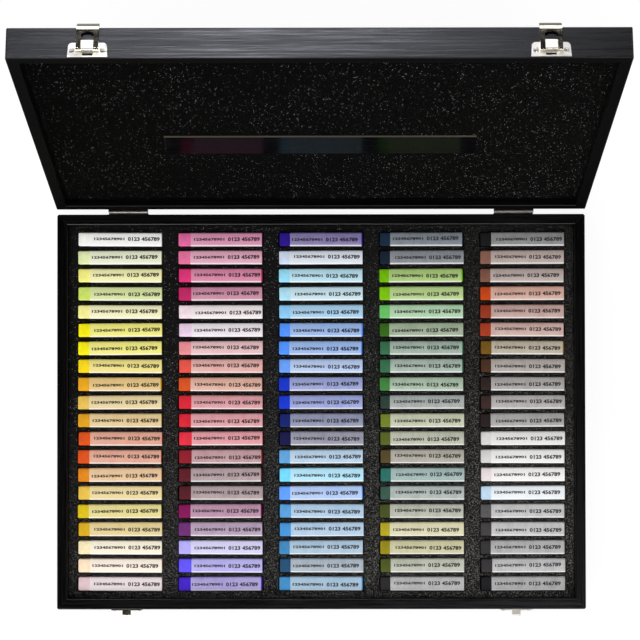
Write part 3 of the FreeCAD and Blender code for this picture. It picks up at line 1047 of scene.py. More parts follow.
def thicken_sheet(mesh_data: bmesh.types.BMesh, thickness: float) -> None:
    """Makes a closed slab of a flat sheet, upwards from where it lies.

    Args:
        mesh_data: The bmesh that holds the sheet alone.
        thickness: The slab's thickness.
    """
    top = bmesh.ops.extrude_face_region(mesh_data, geom=mesh_data.faces[:], use_keep_orig=True)
    raised = [item for item in top["geom"] if isinstance(item, bmesh.types.BMVert)]
    bmesh.ops.translate(mesh_data, verts=raised, vec=(0, 0, thickness))
    bmesh.ops.recalc_face_normals(mesh_data, faces=mesh_data.faces[:])


def ease_edges(
    mesh_data: bmesh.types.BMesh,
    edges: Sequence[bmesh.types.BMEdge],
    width: float,
    segments: int = 2,
) -> None:
    """Rounds edges off.

    Args:
        mesh_data: The bmesh.
        edges: The edges to round.
        width: How far in the rounding starts.
        segments: Number of faces across it.
    """
    bmesh.ops.bevel(
        mesh_data,
        geom=edges,
        offset=width,
        offset_type="OFFSET",
        segments=segments,
        profile=0.5,
        affect="EDGES",
        material=-1,
    )


def roughen_top(
    mesh_data: bmesh.types.BMesh, level: float, depth: float, ripple: Point
) -> None:
    """Lowers the top of a slab a little here and there, as foam is cut.

    Args:
        mesh_data: The bmesh.
        level: Height above which a vertex belongs to the top, in metres.
        depth: How far the top falls at most, in metres.
        ripple: Ripples to a metre along X and Y, and a number that tells patterns apart.
    """
    for vert in mesh_data.verts:
        if vert.co.z > level:
            spot = Vector((vert.co.x * ripple[0], vert.co.y * ripple[1], ripple[2]))
            vert.co.z -= depth * (0.5 + 0.5 * noise.noise(spot))


def soft_slab(
    mesh_data: bmesh.types.BMesh,
    bottom: float,
    top: float,
    cells: tuple[int, int],
    edge: float,
    swell: float,
) -> None:
    """Adds a wall-to-wall slab of foam with eased edges and a slightly uneven top.

    Args:
        mesh_data: The bmesh to add to, still empty.
        bottom: Height of its lower face, in millimetres.
        top: Height of its upper face.
        cells: Number of cells along X and Y.
        edge: Width of the eased edges.
        swell: How far the top falls at most.
    """
    low, high, ease = bottom * MM, top * MM, edge * MM
    lines = [
        [-half + 2 * half * k / count for k in range(count + 1)]
        for half, count in zip((LAYOUT.half_width * MM, LAYOUT.half_depth * MM), cells)
    ]
    grid_sheet(mesh_data, *lines, low)
    thicken_sheet(mesh_data, high - low)
    rim = [
        side
        for side in mesh_data.edges
        if len(side.link_faces) == 2 and side.calc_face_angle(0.0) > SHARP_TURN
    ]
    ease_edges(mesh_data, rim, ease)
    roughen_top(mesh_data, high - ease * 0.5, swell * MM, SLAB_RIPPLE)


# ---------------------------------------------------------------- the wooden case


@dataclass
class WoodenCase:
    """The mitred walls and thin panels of the base and the lid."""

    along_x: Point = (0.0, 0.0, 0.0)
    along_y: Point = (0.0, 0.0, 90.0)
    along_lid: Point = (LAYOUT.lid_angle, 0.0, 0.0)
    end_gloss: float = 0.25

    def finishes(self) -> dict[StainedWood, tuple[str, ...]]:
        """Lists the wood finishes.

        Returns:
            Each finish, turned to its grain, with the nodes that take it.
        """
        return {
            StainedWood("black_stained_wood_lengthwise", self.along_x): (
                "base_front_wall",
                "base_back_wall",
            ),
            StainedWood("black_stained_wood_sideways", self.along_y, gloss=self.end_gloss): (
                "base_left_wall",
                "base_right_wall",
            ),
            StainedWood("black_stained_wood_lid_lengthwise", self.along_x, matt_inside=True): (
                "lid_front_wall",
                "lid_back_wall",
            ),
            StainedWood(
                "black_stained_wood_lid_sides",
                self.along_lid,
                gloss=self.end_gloss,
                matt_inside=True,
            ): ("lid_left_wall", "lid_right_wall"),
            StainedWood(
                "black_lacquered_plywood",
                self.along_x,
                stain="0C0B0C",
                streak="262122",
                worn="4A4441",
                roughness=0.36,
                gloss=0.5,
                fibre_length_mm=60.0,
                fibre_width_mm=1.1,
                figure_width_mm=7.0,
            ): ("base_bottom_panel", "lid_top_panel"),
        }

    def dress(self) -> None:
        """Gives every wooden node its finish."""
        for finish, nodes in self.finishes().items():
            material = finish.build()
            for name in nodes:
                dress_node(name, material)


@dataclass
class Fittings:
    """The nickel-plated hinges, hasps, catches and their screws."""

    sides: tuple[str, ...] = ("left", "right")

    def dress(self) -> None:
        """Gives every metal node its finish."""
        bright = PlatedSteel("bright_nickel_plated_steel").build()
        # The hinges' plating is painted darker: painted shade where they sit in the gap between base
        # and lid.
        hinge = PlatedSteel(
            "nickel_plated_steel_painted_shade", plating="625F5B", dull="3A3834", roughness=0.3
        ).build()
        mirror = PlatedSteel(
            "polished_nickel_plated_steel", plating="E6E0CE", dull="A89F86", roughness=0.1
        ).build()
        satin = PlatedSteel("satin_nickel_plated_steel", plating="E6E1D6", roughness=0.36).build()
        # A darker, olive copy of the plating for the left catch: a painted dark reflection.
        worn = PlatedSteel(
            "nickel_plated_steel_painted_dark_reflection", plating="DAD3BC", dull="8F8765", roughness=0.2
        ).build()
        heads = PlatedSteel(
            "nickel_plated_screw", plating="CFCBC2", dull="8E897C", roughness=0.28
        ).build()
        for side in self.sides:
            for part in ("base_leaf", "lid_leaf", "pin"):
                dress_node(f"hinge_{side}_{part}", hinge)
            for holder in ("hinge_{}_base", "hinge_{}_lid", "latch_{}", "catch_{}"):
                dress_node(holder.format(side) + "_screws", heads)
            dress_node(f"latch_{side}_plate", satin)
            dress_node(f"latch_{side}_pin", bright)
            dress_node(f"latch_{side}_hasp", mirror)
            # The two catches are one part: the left one takes the copy with the painted dark
            # reflection.
            dress_node(f"catch_{side}", worn if side == "left" else satin)


# ---------------------------------------------------------------- foam


@dataclass
class FoamTray:
    """The slotted foam sheet that holds the sticks, on a plain sheet of the same foam.

    Sizes are in millimetres.
    """

    floor: float = 3.0
    split: float = 11.9
    top: float = 20.0
    slot_length: float = 66.2
    slot_width: float = 11.3
    corner: float = 0.9
    rim: float = 1.0  # what lies nearer the walls than this is no corner of a slot
    level_error: float = 0.01
    edge: float = 0.45
    unevenness: float = 0.22
    ripple: Point = (55.0, 90.0, 1.0)
    slot_lines: tuple[float, ...] = (-0.5, -0.25, 0.0, 0.25, 0.5)  # in lengths of a slot
    backing_cells: tuple[int, int] = (20, 15)

    def build(self) -> None:
        """Builds the slotted sheet and the plain one under it."""
        foam = BlackFoam("black_closed_cell_foam").build()
        tray = new_piece(
            self.slotted_sheet(),
            "foam_tray",
            "base",
            foam,
            ["base_foam_tray"],
            crease=50.0,
        )
        plain = bmesh.new()
        soft_slab(plain, self.floor, self.split, self.backing_cells, self.edge, 0.0)
        backing = new_piece(
            plain, "foam_backing", "base", foam, ["base_foam_backing"]
        )

    def slotted_sheet(self) -> bmesh.types.BMesh:
        """Makes the slotted sheet.

        Returns:
            The sheet with its slots cut and their edges eased.
        """
        sheet = self.cut_sheet()
        thicken_sheet(sheet, (self.top - self.split) * MM)
        corners = [
            edge
            for edge in sheet.edges
            if abs(edge.verts[0].co.z - edge.verts[1].co.z) > MM
            and edge.calc_face_angle(0.0) > SHARP_TURN
            and abs(edge.verts[0].co.x) < (LAYOUT.half_width - self.rim) * MM
        ]
        ease_edges(sheet, corners, self.corner * MM, segments=3)
        upper = [
            edge
            for edge in sheet.edges
            if min(vert.co.z for vert in edge.verts) > (self.top - self.level_error) * MM
            and edge.calc_face_angle(0.0) > SHARP_TURN
        ]
        ease_edges(sheet, upper, self.edge * MM)
        level = (self.top - self.edge * EASED_REACH) * MM
        roughen_top(sheet, level, self.unevenness * MM, self.ripple)
        return sheet

    def cut_sheet(self) -> bmesh.types.BMesh:
        """Cuts the slots.

        Returns:
            A flat sheet with a hole for every slot.
        """
        half_x, half_y = self.slot_length / 2, self.slot_width / 2
        middles_x = sorted(LAYOUT.slot(column, 0)[0] for column in range(LAYOUT.columns))
        middles_y = sorted(LAYOUT.slot(0, row)[1] for row in range(LAYOUT.rows))
        lines_x = [x + share * self.slot_length for x in middles_x for share in self.slot_lines]
        lines_y = [y + side for y in middles_y for side in (-half_y, half_y)]
        xs = [-LAYOUT.half_width, *lines_x, LAYOUT.half_width]
        ys = [-LAYOUT.half_depth, *lines_y, LAYOUT.half_depth]
        sheet = bmesh.new()
        grid_sheet(sheet, [x * MM for x in xs], [y * MM for y in ys], self.split * MM)
        slots = []
        for face in sheet.faces:
            middle = face.calc_center_median() * MM_PER_M
            if any(abs(middle.x - x) < half_x for x in middles_x) and any(
                abs(middle.y - y) < half_y for y in middles_y
            ):
                slots.append(face)
        bmesh.ops.delete(sheet, geom=slots, context="FACES")
        return sheet


@dataclass
class LidLining:
    """The foam pad glued into the lid and the gloss plate on it.

    Sizes are in millimetres, in the closed lid: the pad's open face looks down at the height
    face, and its back is glued in at the height back.
    """

    face: float = 34.2
    back: float = 47.2
    edge: float = 0.7
    unevenness: float = 0.35
    cells: tuple[int, int] = (28, 20)
    plate_half: Span = (112.0, 16.75)
    plate_y: float = 22.9
    plate_margin: float = 8.0
    hinge_y: float = 155.2
    hinge_z: float = 28.1

    def opened(self) -> Matrix:
        """Works out how the lid has swung.

        Returns:
            The matrix that takes the closed lid to where it stands open, in metres.
        """
        axis = Vector((0.0, self.hinge_y * MM, self.hinge_z * MM))
        turn = Matrix.Rotation(math.radians(-LAYOUT.lid_angle), 4, "X")
        return Matrix.Translation(axis) @ turn @ Matrix.Translation(-axis)

    def build(self) -> None:
        """Builds the pad and finishes the plate."""
        foam = BlackFoam(
            "black_closed_cell_foam_lid",
            foam="020202",
            cell_wall="343230",
            fleck="FFFFFF",
            fleck_spacing_mm=0.85,
            fleck_share=0.56,
            fleck_strength=(0.7, 2.0),
            fleck_size=0.22,
            fleck_rarity=4.8,
            fleck_drift=0.25,
            fleck_stretch=(1.0, 1.0, 0.55),
            glint=0.02,
            dust=(0.2, 1.0),
            dust_way=(1.0, 0.0, -0.5),
            dust_span=(-330.0, 170.0),
        ).build()
        lining = new_piece(
            self.pad(), "lid_foam_lining", "lid", foam, ["lid_foam_pad"], crease=50.0
        )
        dress_node("lid_name_plate", GlossAcrylic().build())

    def pad(self) -> bmesh.types.BMesh:
        """Makes the pad.

        Returns:
            The pad in the open lid, flat where the plate is glued to it.
        """
        pad = bmesh.new()
        soft_slab(pad, -self.back, -self.face, self.cells, self.edge, self.unevenness)
        top = -self.face * MM
        sunk = 1.5 * self.unevenness * MM  # more than the face sinks anywhere
        for vert in pad.verts:
            beside = max(
                abs(vert.co.x) / MM - self.plate_half[0],
                abs(-vert.co.y / MM - self.plate_y) - self.plate_half[1],
            )
            if beside < self.plate_margin and vert.co.z > top - sunk:
                vert.co.z = top
        # The slab was built face up. Half a turn about X lays its face down, as in the closed lid.
        flip = Matrix.Rotation(math.pi, 4, "X")
        bmesh.ops.transform(pad, matrix=self.opened() @ flip, verts=pad.verts[:])
        return pad


# ---------------------------------------------------------------- sticks


@dataclass(frozen=True)
class StickSizes:
    """Sizes shared by all sticks and sleeves, in millimetres."""

    length: float = 65.0
    width: float = 10.3
    ease: float = 0.9
    centre_z: float = 17.3
    wear: float = 0.16
    crumb: float = 0.9  # crumbs to a millimetre of edge
    end_wear: float = 2.2  # how much more the two ends are worn
    sleeve_width: float = 10.6
    sleeve_ease: float = 1.2
    paper: float = 0.13
    bow: float = 0.09
    bows: Span = (0.08, 0.15)  # to a millimetre, along the sleeve and across it
    lap_width: float = 4.6
    lap_proud: float = 0.1
    lap_short: float = 0.2
    lap_rise: float = 3.6
    glued: float = 0.03  # how deep the lap and the print sit in the paper


@dataclass(frozen=True)
class Handwork:
    """How far out of true sticks and sleeves are laid, in millimetres and degrees."""

    slid: Span = (1.0, 1.5)  # bare stick at the right end, where the sleeve has slid
    seated: Span = (0.0, 0.35)
    start: Span = (-0.35, 0.35)
    x: Span = (-0.35, 0.35)
    y: Span = (-0.1, 0.1)
    turn: Span = (-0.3, 0.3)
    print_x: Span = (-1.2, 0.8)
    print_y: Span = (-0.7, 0.7)
    print_turn: Span = (-0.7, 0.7)
    dice_seed: int = 1000
    pattern_steps: Span = (37.0, 1.7)  # from column to column and from row to row


SIZES = StickSizes()
HANDWORK = Handwork()


class StickMarks:
    """The attributes that carry each stick's colours and its own coordinates to the materials.

    A stick that is still being shaped has a seed of 0, which tells it from the finished ones.
    """

    def __init__(self) -> None:
        """Starts an empty bmesh with the attributes."""
        self.mesh_data = bmesh.new()
        layers = self.mesh_data.verts.layers
        self.pigment = layers.float_color.new("pigment")
        self.tint = layers.float_color.new("tint")
        self.seed = layers.float.new("seed")
        self.spot = layers.float_vector.new("spot")

    def verts(self) -> list[bmesh.types.BMVert]:
        """Finds the vertices of the stick in hand.

        Returns:
            Its vertices.
        """
        return [vert for vert in self.mesh_data.verts if vert[self.seed] == 0.0]

    def faces(self) -> list[bmesh.types.BMFace]:
        """Finds the faces of the stick in hand.

        Returns:
            Its faces.
        """
        return [face for face in self.mesh_data.faces if face.verts[0][self.seed] == 0.0]

    def edges(self, least: float = 0.0) -> list[bmesh.types.BMEdge]:
        """Finds the edges of the stick in hand.

        Args:
            least: How far they run along X at least, in millimetres.

        Returns:
            Its edges.
        """
        return [
            edge
            for edge in self.mesh_data.edges
            if edge.verts[0][self.seed] == 0.0
            and abs(edge.verts[0].co.x - edge.verts[1].co.x) >= least
        ]

    def block(self, size: Point, middle: Point = (0.0, 0.0, 0.0)) -> list[bmesh.types.BMVert]:
        """Adds a block to shape a stick or a sleeve from.

        Args:
            size: Its length, width and height.
            middle: Where its middle lies.

        Returns:
            Its vertices.
        """
        verts = bmesh.ops.create_cube(self.mesh_data, size=1.0)["verts"]
        bmesh.ops.scale(self.mesh_data, vec=size, verts=verts)
        bmesh.ops.translate(self.mesh_data, vec=middle, verts=verts)
        return verts

    def finish(self, stick: LaidStick) -> None:
        """Writes the stick's values and lays it from its own millimetres into the case.

        Args:
            stick: The stick in hand.
        """
        body = linear(stick.shade.body())
        seen = linear(stick.shade.through_paper())
        verts = self.verts()
        for vert in verts:
            vert[self.pigment] = body
            vert[self.tint] = seen
            vert[self.seed] = stick.seed
            vert[self.spot] = vert.co
        bmesh.ops.transform(self.mesh_data, matrix=stick.place(), verts=verts)


@dataclass(frozen=True)
class LaidStick:
    """A stick as it lies in its slot, with its sleeve and its print slightly out of true."""

    shade: Shade
    x: float
    y: float
    turn: float
    sleeve: Span
    print_x: float
    print_y: float
    print_turn: float
    seed: float

    def place(self) -> Matrix:
        """Works out where the stick lies.

        Returns:
            The matrix from the stick's own millimetres to metres in the case.
        """
        middle = Vector((self.x, self.y, SIZES.centre_z)) * MM
        turn = Matrix.Rotation(math.radians(self.turn), 4, "Z")
        return Matrix.Translation(middle) @ turn @ Matrix.Scale(MM, 4)

    def print_place(self) -> Matrix:
        """Works out where the print lies.

        Returns:
            The matrix that lays the stencil on the sleeve's top.
        """
        middle = (self.sleeve[0] + self.sleeve[1]) / 2 + self.print_x
        shift = Vector((middle, self.print_y, SIZES.sleeve_width / 2 - SIZES.glued))
        turn = Matrix.Rotation(math.radians(self.print_turn), 4, "Z")
        return self.place() @ Matrix.Translation(shift) @ turn

    def press(self, marks: StickMarks) -> None:
        """Adds the bare stick: a moulded bar with eased, slightly crumbled edges.

        Args:
            marks: The bmesh to add to, with its attributes.
        """
        marks.block((SIZES.length, SIZES.width, SIZES.width))
        ease_edges(marks.mesh_data, marks.edges(), SIZES.ease)
        for vert in marks.verts():
            crumble = noise.noise(vert.co * SIZES.crumb + Vector((self.seed, 0.0, 0.0)))
            wear = SIZES.wear * (0.5 + 0.5 * crumble)
            if abs(vert.co.x) > SIZES.length / 2 - SIZES.ease * EASED_REACH:
                wear *= SIZES.end_wear
            vert.co -= vert.co.normalized() * wear
        marks.finish(self)

    def wrap(self, marks: StickMarks) -> None:
        """Adds the paper sleeve with its glued lap on the side next to the hinge.

        Args:
            marks: The bmesh to add to, with its attributes.
        """
        start, end = self.sleeve
        length, middle, half = end - start, (start + end) / 2, SIZES.sleeve_width / 2
        sheet = marks.mesh_data
        marks.block((length, SIZES.sleeve_width, SIZES.sleeve_width), (middle, 0, 0))
        caps = [
            face
            for face in marks.faces()
            if abs(face.calc_center_median().x - middle) > length / 4
        ]
        bmesh.ops.delete(sheet, geom=caps, context="FACES_ONLY")
        ease_edges(sheet, marks.edges(least=1.0), SIZES.sleeve_ease)
        bmesh.ops.subdivide_edges(
            sheet, edges=marks.edges(least=1.0), cuts=2, use_grid_fill=True
        )
        for vert in marks.verts():
            along, across = vert.co.x * SIZES.bows[0], vert.co.y * SIZES.bows[1]
            pull = SIZES.bow * (0.5 + 0.5 * noise.noise(Vector((along, across, self.seed))))
            vert.co.y -= math.copysign(pull, vert.co.y)
            vert.co.z -= math.copysign(pull, vert.co.z)
        bmesh.ops.recalc_face_normals(sheet, faces=marks.faces())
        bmesh.ops.solidify(sheet, geom=marks.faces(), thickness=SIZES.paper)
        marks.block(
            (length - SIZES.lap_short, SIZES.lap_proud, SIZES.lap_width),
            (middle, half - SIZES.glued, -half + SIZES.lap_rise),
        )
        marks.finish(self)


@dataclass
class StickFinishes:
    """The three materials that every column shares."""

    pigment: bpy.types.Material
    paper: bpy.types.Material
    ink: bpy.types.Material


@dataclass(frozen=True)
class FigureRun:
    """One row of plain figures: where it starts along the sleeve and how long and tall it is."""

    figures: str
    start: float
    run: float
    height: float
    weight: float
    size_to_height: float = 1.4

    def build(self, marks: bmesh.types.BMesh, ink: float) -> None:
        """Adds the figures as thin closed shapes.

        Args:
            marks: The bmesh to add to, in millimetres.
            ink: Thickness of the print.
        """
        text = bpy.data.curves.new("figures", "FONT")
        text.body = self.figures
        text.size = self.height * self.size_to_height
        text.resolution_u = 2
        text.extrude = ink / 2
        text.offset = self.weight
        holder = bpy.data.objects.new("figures", text)
        bpy.context.scene.collection.objects.link(holder)
        bpy.context.view_layer.update()
        mesh = bpy.data.meshes.new_from_object(
            holder.evaluated_get(bpy.context.evaluated_depsgraph_get())
        )
        fresh = added_mesh(marks, mesh)
        low = Vector([min(vert.co[i] for vert in fresh) for i in range(3)])
        high = Vector([max(vert.co[i] for vert in fresh) for i in range(3)])
        fit = (self.run / (high.x - low.x), self.height / (high.y - low.y), 1.0)
        bmesh.ops.translate(marks, vec=-(low + high) / 2, verts=fresh)
        bmesh.ops.scale(marks, vec=fit, verts=fresh)
        bmesh.ops.translate(marks, vec=(self.start + self.run / 2, 0, 0), verts=fresh)
        bpy.data.objects.remove(holder)
        bpy.data.curves.remove(text)
        bpy.data.meshes.remove(mesh)


@dataclass(frozen=True)
class Stencil:
    """What is printed on a sleeve: two rows of plain figures and no lettering."""

    runs: tuple[FigureRun, ...] = (
        FigureRun("12345678901", start=-25.0, run=23.6, height=2.2, weight=0.13),
        FigureRun("0123 456789", start=1.2, run=24.8, height=3.2, weight=0.18),
    )
    ink: float = 0.1

    def build(self) -> bpy.types.Mesh:
        """Draws the marks.

        Returns:
            The marks round the origin, in millimetres.
        """
        marks = bmesh.new()
        for run in self.runs:
            run.build(marks, self.ink)
        mesh = bpy.data.meshes.new("stencil")
        marks.to_mesh(mesh)
        marks.free()
        return mesh


def added_mesh(mesh_data: bmesh.types.BMesh, mesh: bpy.types.Mesh) -> list[bmesh.types.BMVert]:
    """Adds a mesh to a bmesh.

    Args:
        mesh_data: The bmesh.
        mesh: The mesh to add.

    Returns:
        The added vertices.
    """
    count = len(mesh_data.verts)
    mesh_data.from_mesh(mesh)
    return list(mesh_data.verts)[count:]


@dataclass
class Column:
    """One column of twenty sticks, each in its sleeve, listed from the hinge side to the front."""

    number: int
    shades: list[Shade]
    bare_end: float
    slid: tuple[int, ...] = ()

    def laid(self) -> list[LaidStick]:
        """Lays the sticks, the same on every run.

        Returns:
            How each stick lies in its slot, and its sleeve on it.
        """
        dice = random.Random(HANDWORK.dice_seed + self.number)
        column_step, row_step = HANDWORK.pattern_steps
        sticks = []
        for row, shade in enumerate(self.shades):
            sliver = dice.uniform(*(HANDWORK.slid if row + 1 in self.slid else HANDWORK.seated))
            start = self.bare_end + dice.uniform(*HANDWORK.start)
            x, y = LAYOUT.slot(self.number - 1, row)
            sticks.append(
                LaidStick(
                    shade=shade,
                    x=x + dice.uniform(*HANDWORK.x),
                    y=y + dice.uniform(*HANDWORK.y),
                    turn=dice.uniform(*HANDWORK.turn),
                    sleeve=(start - SIZES.length / 2, SIZES.length / 2 - sliver),
                    print_x=dice.uniform(*HANDWORK.print_x),
                    print_y=dice.uniform(*HANDWORK.print_y),
                    print_turn=dice.uniform(*HANDWORK.print_turn),
                    seed=self.number * column_step + row * row_step,
                )
            )
        return sticks

    def build(self, finishes: StickFinishes, stencil: bpy.types.Mesh) -> None:
        """Builds the column's sticks, sleeves and prints.

        Args:
            finishes: The materials.
            stencil: The printed marks of one sleeve, flat round the origin.
        """
        sticks = self.laid()
        half = len(sticks) // 2
        n, body = self.number, f"pastels_{self.number}"
        for part, chosen in (("back", sticks[:half]), ("front", sticks[half:])):
            new_piece(
                self.shaped(chosen, LaidStick.press),
                f"pastel_sticks_{n}_{part}",
                body,
                finishes.pigment,
                [f"pastels_column_{n}_{part}"],
                crease=60.0,
            )
        new_piece(
            self.shaped(sticks, LaidStick.wrap),
            f"paper_sleeves_{n}",
            body,
            finishes.paper,
            [f"sleeves_column_{n}"],
            crease=60.0,
        )
        prints = bmesh.new()
        for stick in sticks:
            fresh = added_mesh(prints, stencil)
            bmesh.ops.transform(prints, matrix=stick.print_place(), verts=fresh)
        new_piece(
            prints, f"sleeve_print_{n}", body, finishes.ink, crease=30.0
        )

    def shaped(
        self, sticks: Sequence[LaidStick], shape: Callable[[LaidStick, StickMarks], None]
    ) -> bmesh.types.BMesh:
        """Shapes something for each stick.

        Args:
            sticks: The sticks.
            shape: The method of LaidStick that shapes it.

        Returns:
            A bmesh that holds all of them.
        """
        marks = StickMarks()
        for stick in sticks:
            shape(stick, marks)
        return marks.mesh_data


def shades(*sticks: tuple[Pigment, float, float]) -> list[Shade]:
    """Lists a column's shades.

    Args:
        *sticks: Each stick's pigment, tint and cover, from the hinge side to the front.

    Returns:
        The shades in the same order.
    """
    return [Shade(*stick) for stick in sticks]


YELLOWS = shades(
    (Pigment.TITANIUM_WHITE, 0.0, 0.62),
    (Pigment.SPRING_GREEN, 0.65, 0.4),
    (Pigment.LEMON, 0.52, 0.3),
    (Pigment.SPRING_GREEN, 0.25, 0.33),
    (Pigment.LEMON, 0.6, 0.4),
    (Pigment.LEMON, 0.0, 0.4),
    (Pigment.LEMON, 0.0, 0.42),
    (Pigment.CADMIUM_YELLOW, 0.0, 0.44),
    (Pigment.AMBER, 0.0, 0.42),
    (Pigment.NAPLES, -0.05, 0.4),
    (Pigment.AMBER, -0.05, 0.5),
    (Pigment.FLAME, -0.05, 0.48),
    (Pigment.FLAME, -0.05, 0.5),
    (Pigment.ORANGE, -0.05, 0.52),
    (Pigment.OCHRE, 0.2, 0.4),
    (Pigment.CADMIUM_YELLOW, -0.15, 0.46),
    (Pigment.OCHRE, -0.05, 0.48),
    (Pigment.OCHRE, 0.7, 0.4),
    (Pigment.APRICOT, 0.45, 0.4),
    (Pigment.MADDER, 0.75, 0.44),
)
REDS = shades(
    (Pigment.PINK, 0.05, 0.28),
    (Pigment.ROSE, 0.35, 0.4),
    (Pigment.ROSE, 0.05, 0.4),
    (Pigment.ROSE, -0.15, 0.48),
    (Pigment.PINK, 0.85, 0.4),
    (Pigment.LILAC, 0.6, 0.62),
    (Pigment.CARMINE, 0.5, 0.48),
    (Pigment.VERMILION, 0.15, 0.56),
    (Pigment.BURNT_ORANGE, 0.05, 0.58),
    (Pigment.CARMINE, -0.05, 0.56),
    (Pigment.CARMINE, -0.05, 0.56),
    (Pigment.CARMINE, 0.05, 0.52),
    (Pigment.CARMINE, -0.4, 0.56),
    (Pigment.MAROON, 0.0, 0.58),
    (Pigment.MAROON, -0.1, 0.58),
    (Pigment.AUBERGINE, -0.05, 0.52),
    (Pigment.MAUVE, -0.15, 0.54),
    (Pigment.BLUE_VIOLET, 0.55, 0.46),
    (Pigment.BLUE_VIOLET, 0.05, 0.54),
    (Pigment.VIOLET, -0.05, 0.58),
)
BLUES = shades(
    (Pigment.DARK_VIOLET, -0.05, 0.48),
    (Pigment.AZURE, 0.8, 0.42),
    (Pigment.TURQUOISE, 0.4, 0.31),
    (Pigment.TURQUOISE, 0.55, 0.34),
    (Pigment.SKY, 0.35, 0.22),
    (Pigment.AZURE, 0.12, 0.42),
    (Pigment.AZURE, 0.12, 0.42),
    (Pigment.AZURE, 0.25, 0.54),
    (Pigment.ULTRAMARINE, -0.1, 0.58),
    (Pigment.ULTRAMARINE, -0.05, 0.58),
    (Pigment.ULTRAMARINE, -0.55, 0.54),
    (Pigment.INDIGO, -0.3, 0.58),
    (Pigment.CERULEAN, 0.2, 0.54),
    (Pigment.TURQUOISE, 0.15, 0.42),
    (Pigment.AZURE, 0.2, 0.5),
    (Pigment.CERULEAN, 0.15, 0.5),
    (Pigment.CERULEAN, 0.05, 0.58),
    (Pigment.SKY, -0.3, 0.56),
    (Pigment.CERULEAN, -0.5, 0.62),
    (Pigment.SKY, -0.25, 0.52),
)
GREENS = shades(
    (Pigment.PRUSSIAN, -0.35, 0.48),
    (Pigment.PRUSSIAN, -0.55, 0.54),
    (Pigment.LEAF, -0.05, 0.46),
    (Pigment.LEAF, 0.05, 0.52),
    (Pigment.EMERALD, 0.1, 0.52),
    (Pigment.SAP, -0.2, 0.58),
    (Pigment.FIR, 0.05, 0.56),
    (Pigment.FIR, 0.05, 0.6),
    (Pigment.EMERALD, -0.35, 0.58),
    (Pigment.SLATE_GREEN, -0.35, 0.62),
    (Pigment.SPRING_GREEN, -0.45, 0.64),
    (Pigment.SPRING_GREEN, -0.6, 0.64),
    (Pigment.NAPLES, -0.7, 0.58),
    (Pigment.VIRIDIAN, -0.05, 0.56),
    (Pigment.SLATE_GREEN, -0.05, 0.62),
    (Pigment.SPRING_GREEN, -0.7, 0.64),
    (Pigment.MUSTARD, 0.05, 0.64),
    (Pigment.MUSTARD, -0.15, 0.58),
    (Pigment.SPRING_GREEN, -0.65, 0.66),
    (Pigment.IVORY_BLACK, 0.05, 0.7),
)
EARTHS = shades(
    (Pigment.IVORY_BLACK, -0.5, 0.56),
    (Pigment.TAN, 0.05, 0.52),
    (Pigment.TAN, -0.05, 0.56),
    (Pigment.BURNT_ORANGE, -0.05, 0.6),
    (Pigment.BRICK, -0.15, 0.6),
    (Pigment.BRICK, -0.05, 0.64),
    (Pigment.SIENNA, -0.15, 0.62),
    (Pigment.UMBER, 0.0, 0.64),
    (Pigment.TAN, -0.75, 0.64),
    (Pigment.TAN, -0.65, 0.66),
    (Pigment.TAN, -0.8, 0.64),
    (Pigment.TITANIUM_WHITE, -0.15, 0.4),
    (Pigment.IVORY_BLACK, 0.8, 0.66),
    (Pigment.MAROON, 0.85, 0.68),
    (Pigment.CERULEAN, 0.68, 0.78),
    (Pigment.IVORY_BLACK, 0.25, 0.68),
    (Pigment.IVORY_BLACK, 0.15, 0.72),
    (Pigment.TITANIUM_WHITE, -0.85, 0.64),
    (Pigment.IVORY_BLACK, 0.1, 0.7),
    (Pigment.IVORY_BLACK, -0.1, 0.66),
)


@dataclass
class PastelSet:
    """The five columns of sticks."""

    columns: tuple[Column, ...] = (
        Column(1, YELLOWS, bare_end=9.0, slid=(9,)),
        Column(2, REDS, bare_end=9.7, slid=(3, 13, 14, 16, 20)),
        Column(3, BLUES, bare_end=8.5, slid=(1, 6, 7, 15, 20)),
        Column(4, GREENS, bare_end=7.8, slid=(1, 3, 7, 8)),
        Column(5, EARTHS, bare_end=8.2, slid=(7,)),
    )

    def build(self) -> None:
        """Builds every column with the same three finishes and the same stencil."""
        finishes = StickFinishes(
            PressedPigment().build(), SleevePaper().build(), PrintingInk().build()
        )
        stencil = Stencil().build()
        for column in self.columns:
            column.build(finishes, stencil)
        bpy.data.meshes.remove(stencil)


# ---------------------------------------------------------------- studio


@dataclass(frozen=True)
class SoftBox:
    """One square softbox, which may be left out of the reflections or light only them."""

    name: str
    place: Point
    aim: Point
    size: Span
    power: float
    colour: str = "FFFFFF"
    mirrored: bool = True
    diffused: bool = True

    def build(self) -> None:
        """Hangs the light and turns it to what it lights."""
        lamp = bpy.data.lights.new(self.name, "AREA")
        lamp.shape = "RECTANGLE"
        lamp.size, lamp.size_y = self.size
        lamp.energy = self.power
        lamp.color = linear(self.colour)[:3]
        holder = bpy.data.objects.new(self.name, lamp)
        holder.visible_glossy = self.mirrored
        holder.visible_diffuse = self.diffused
        holder.location = self.place
        way = Vector(self.aim) - Vector(self.place)
        holder.rotation_euler = way.to_track_quat("-Z", "Y").to_euler()
        bpy.context.scene.collection.objects.link(holder)


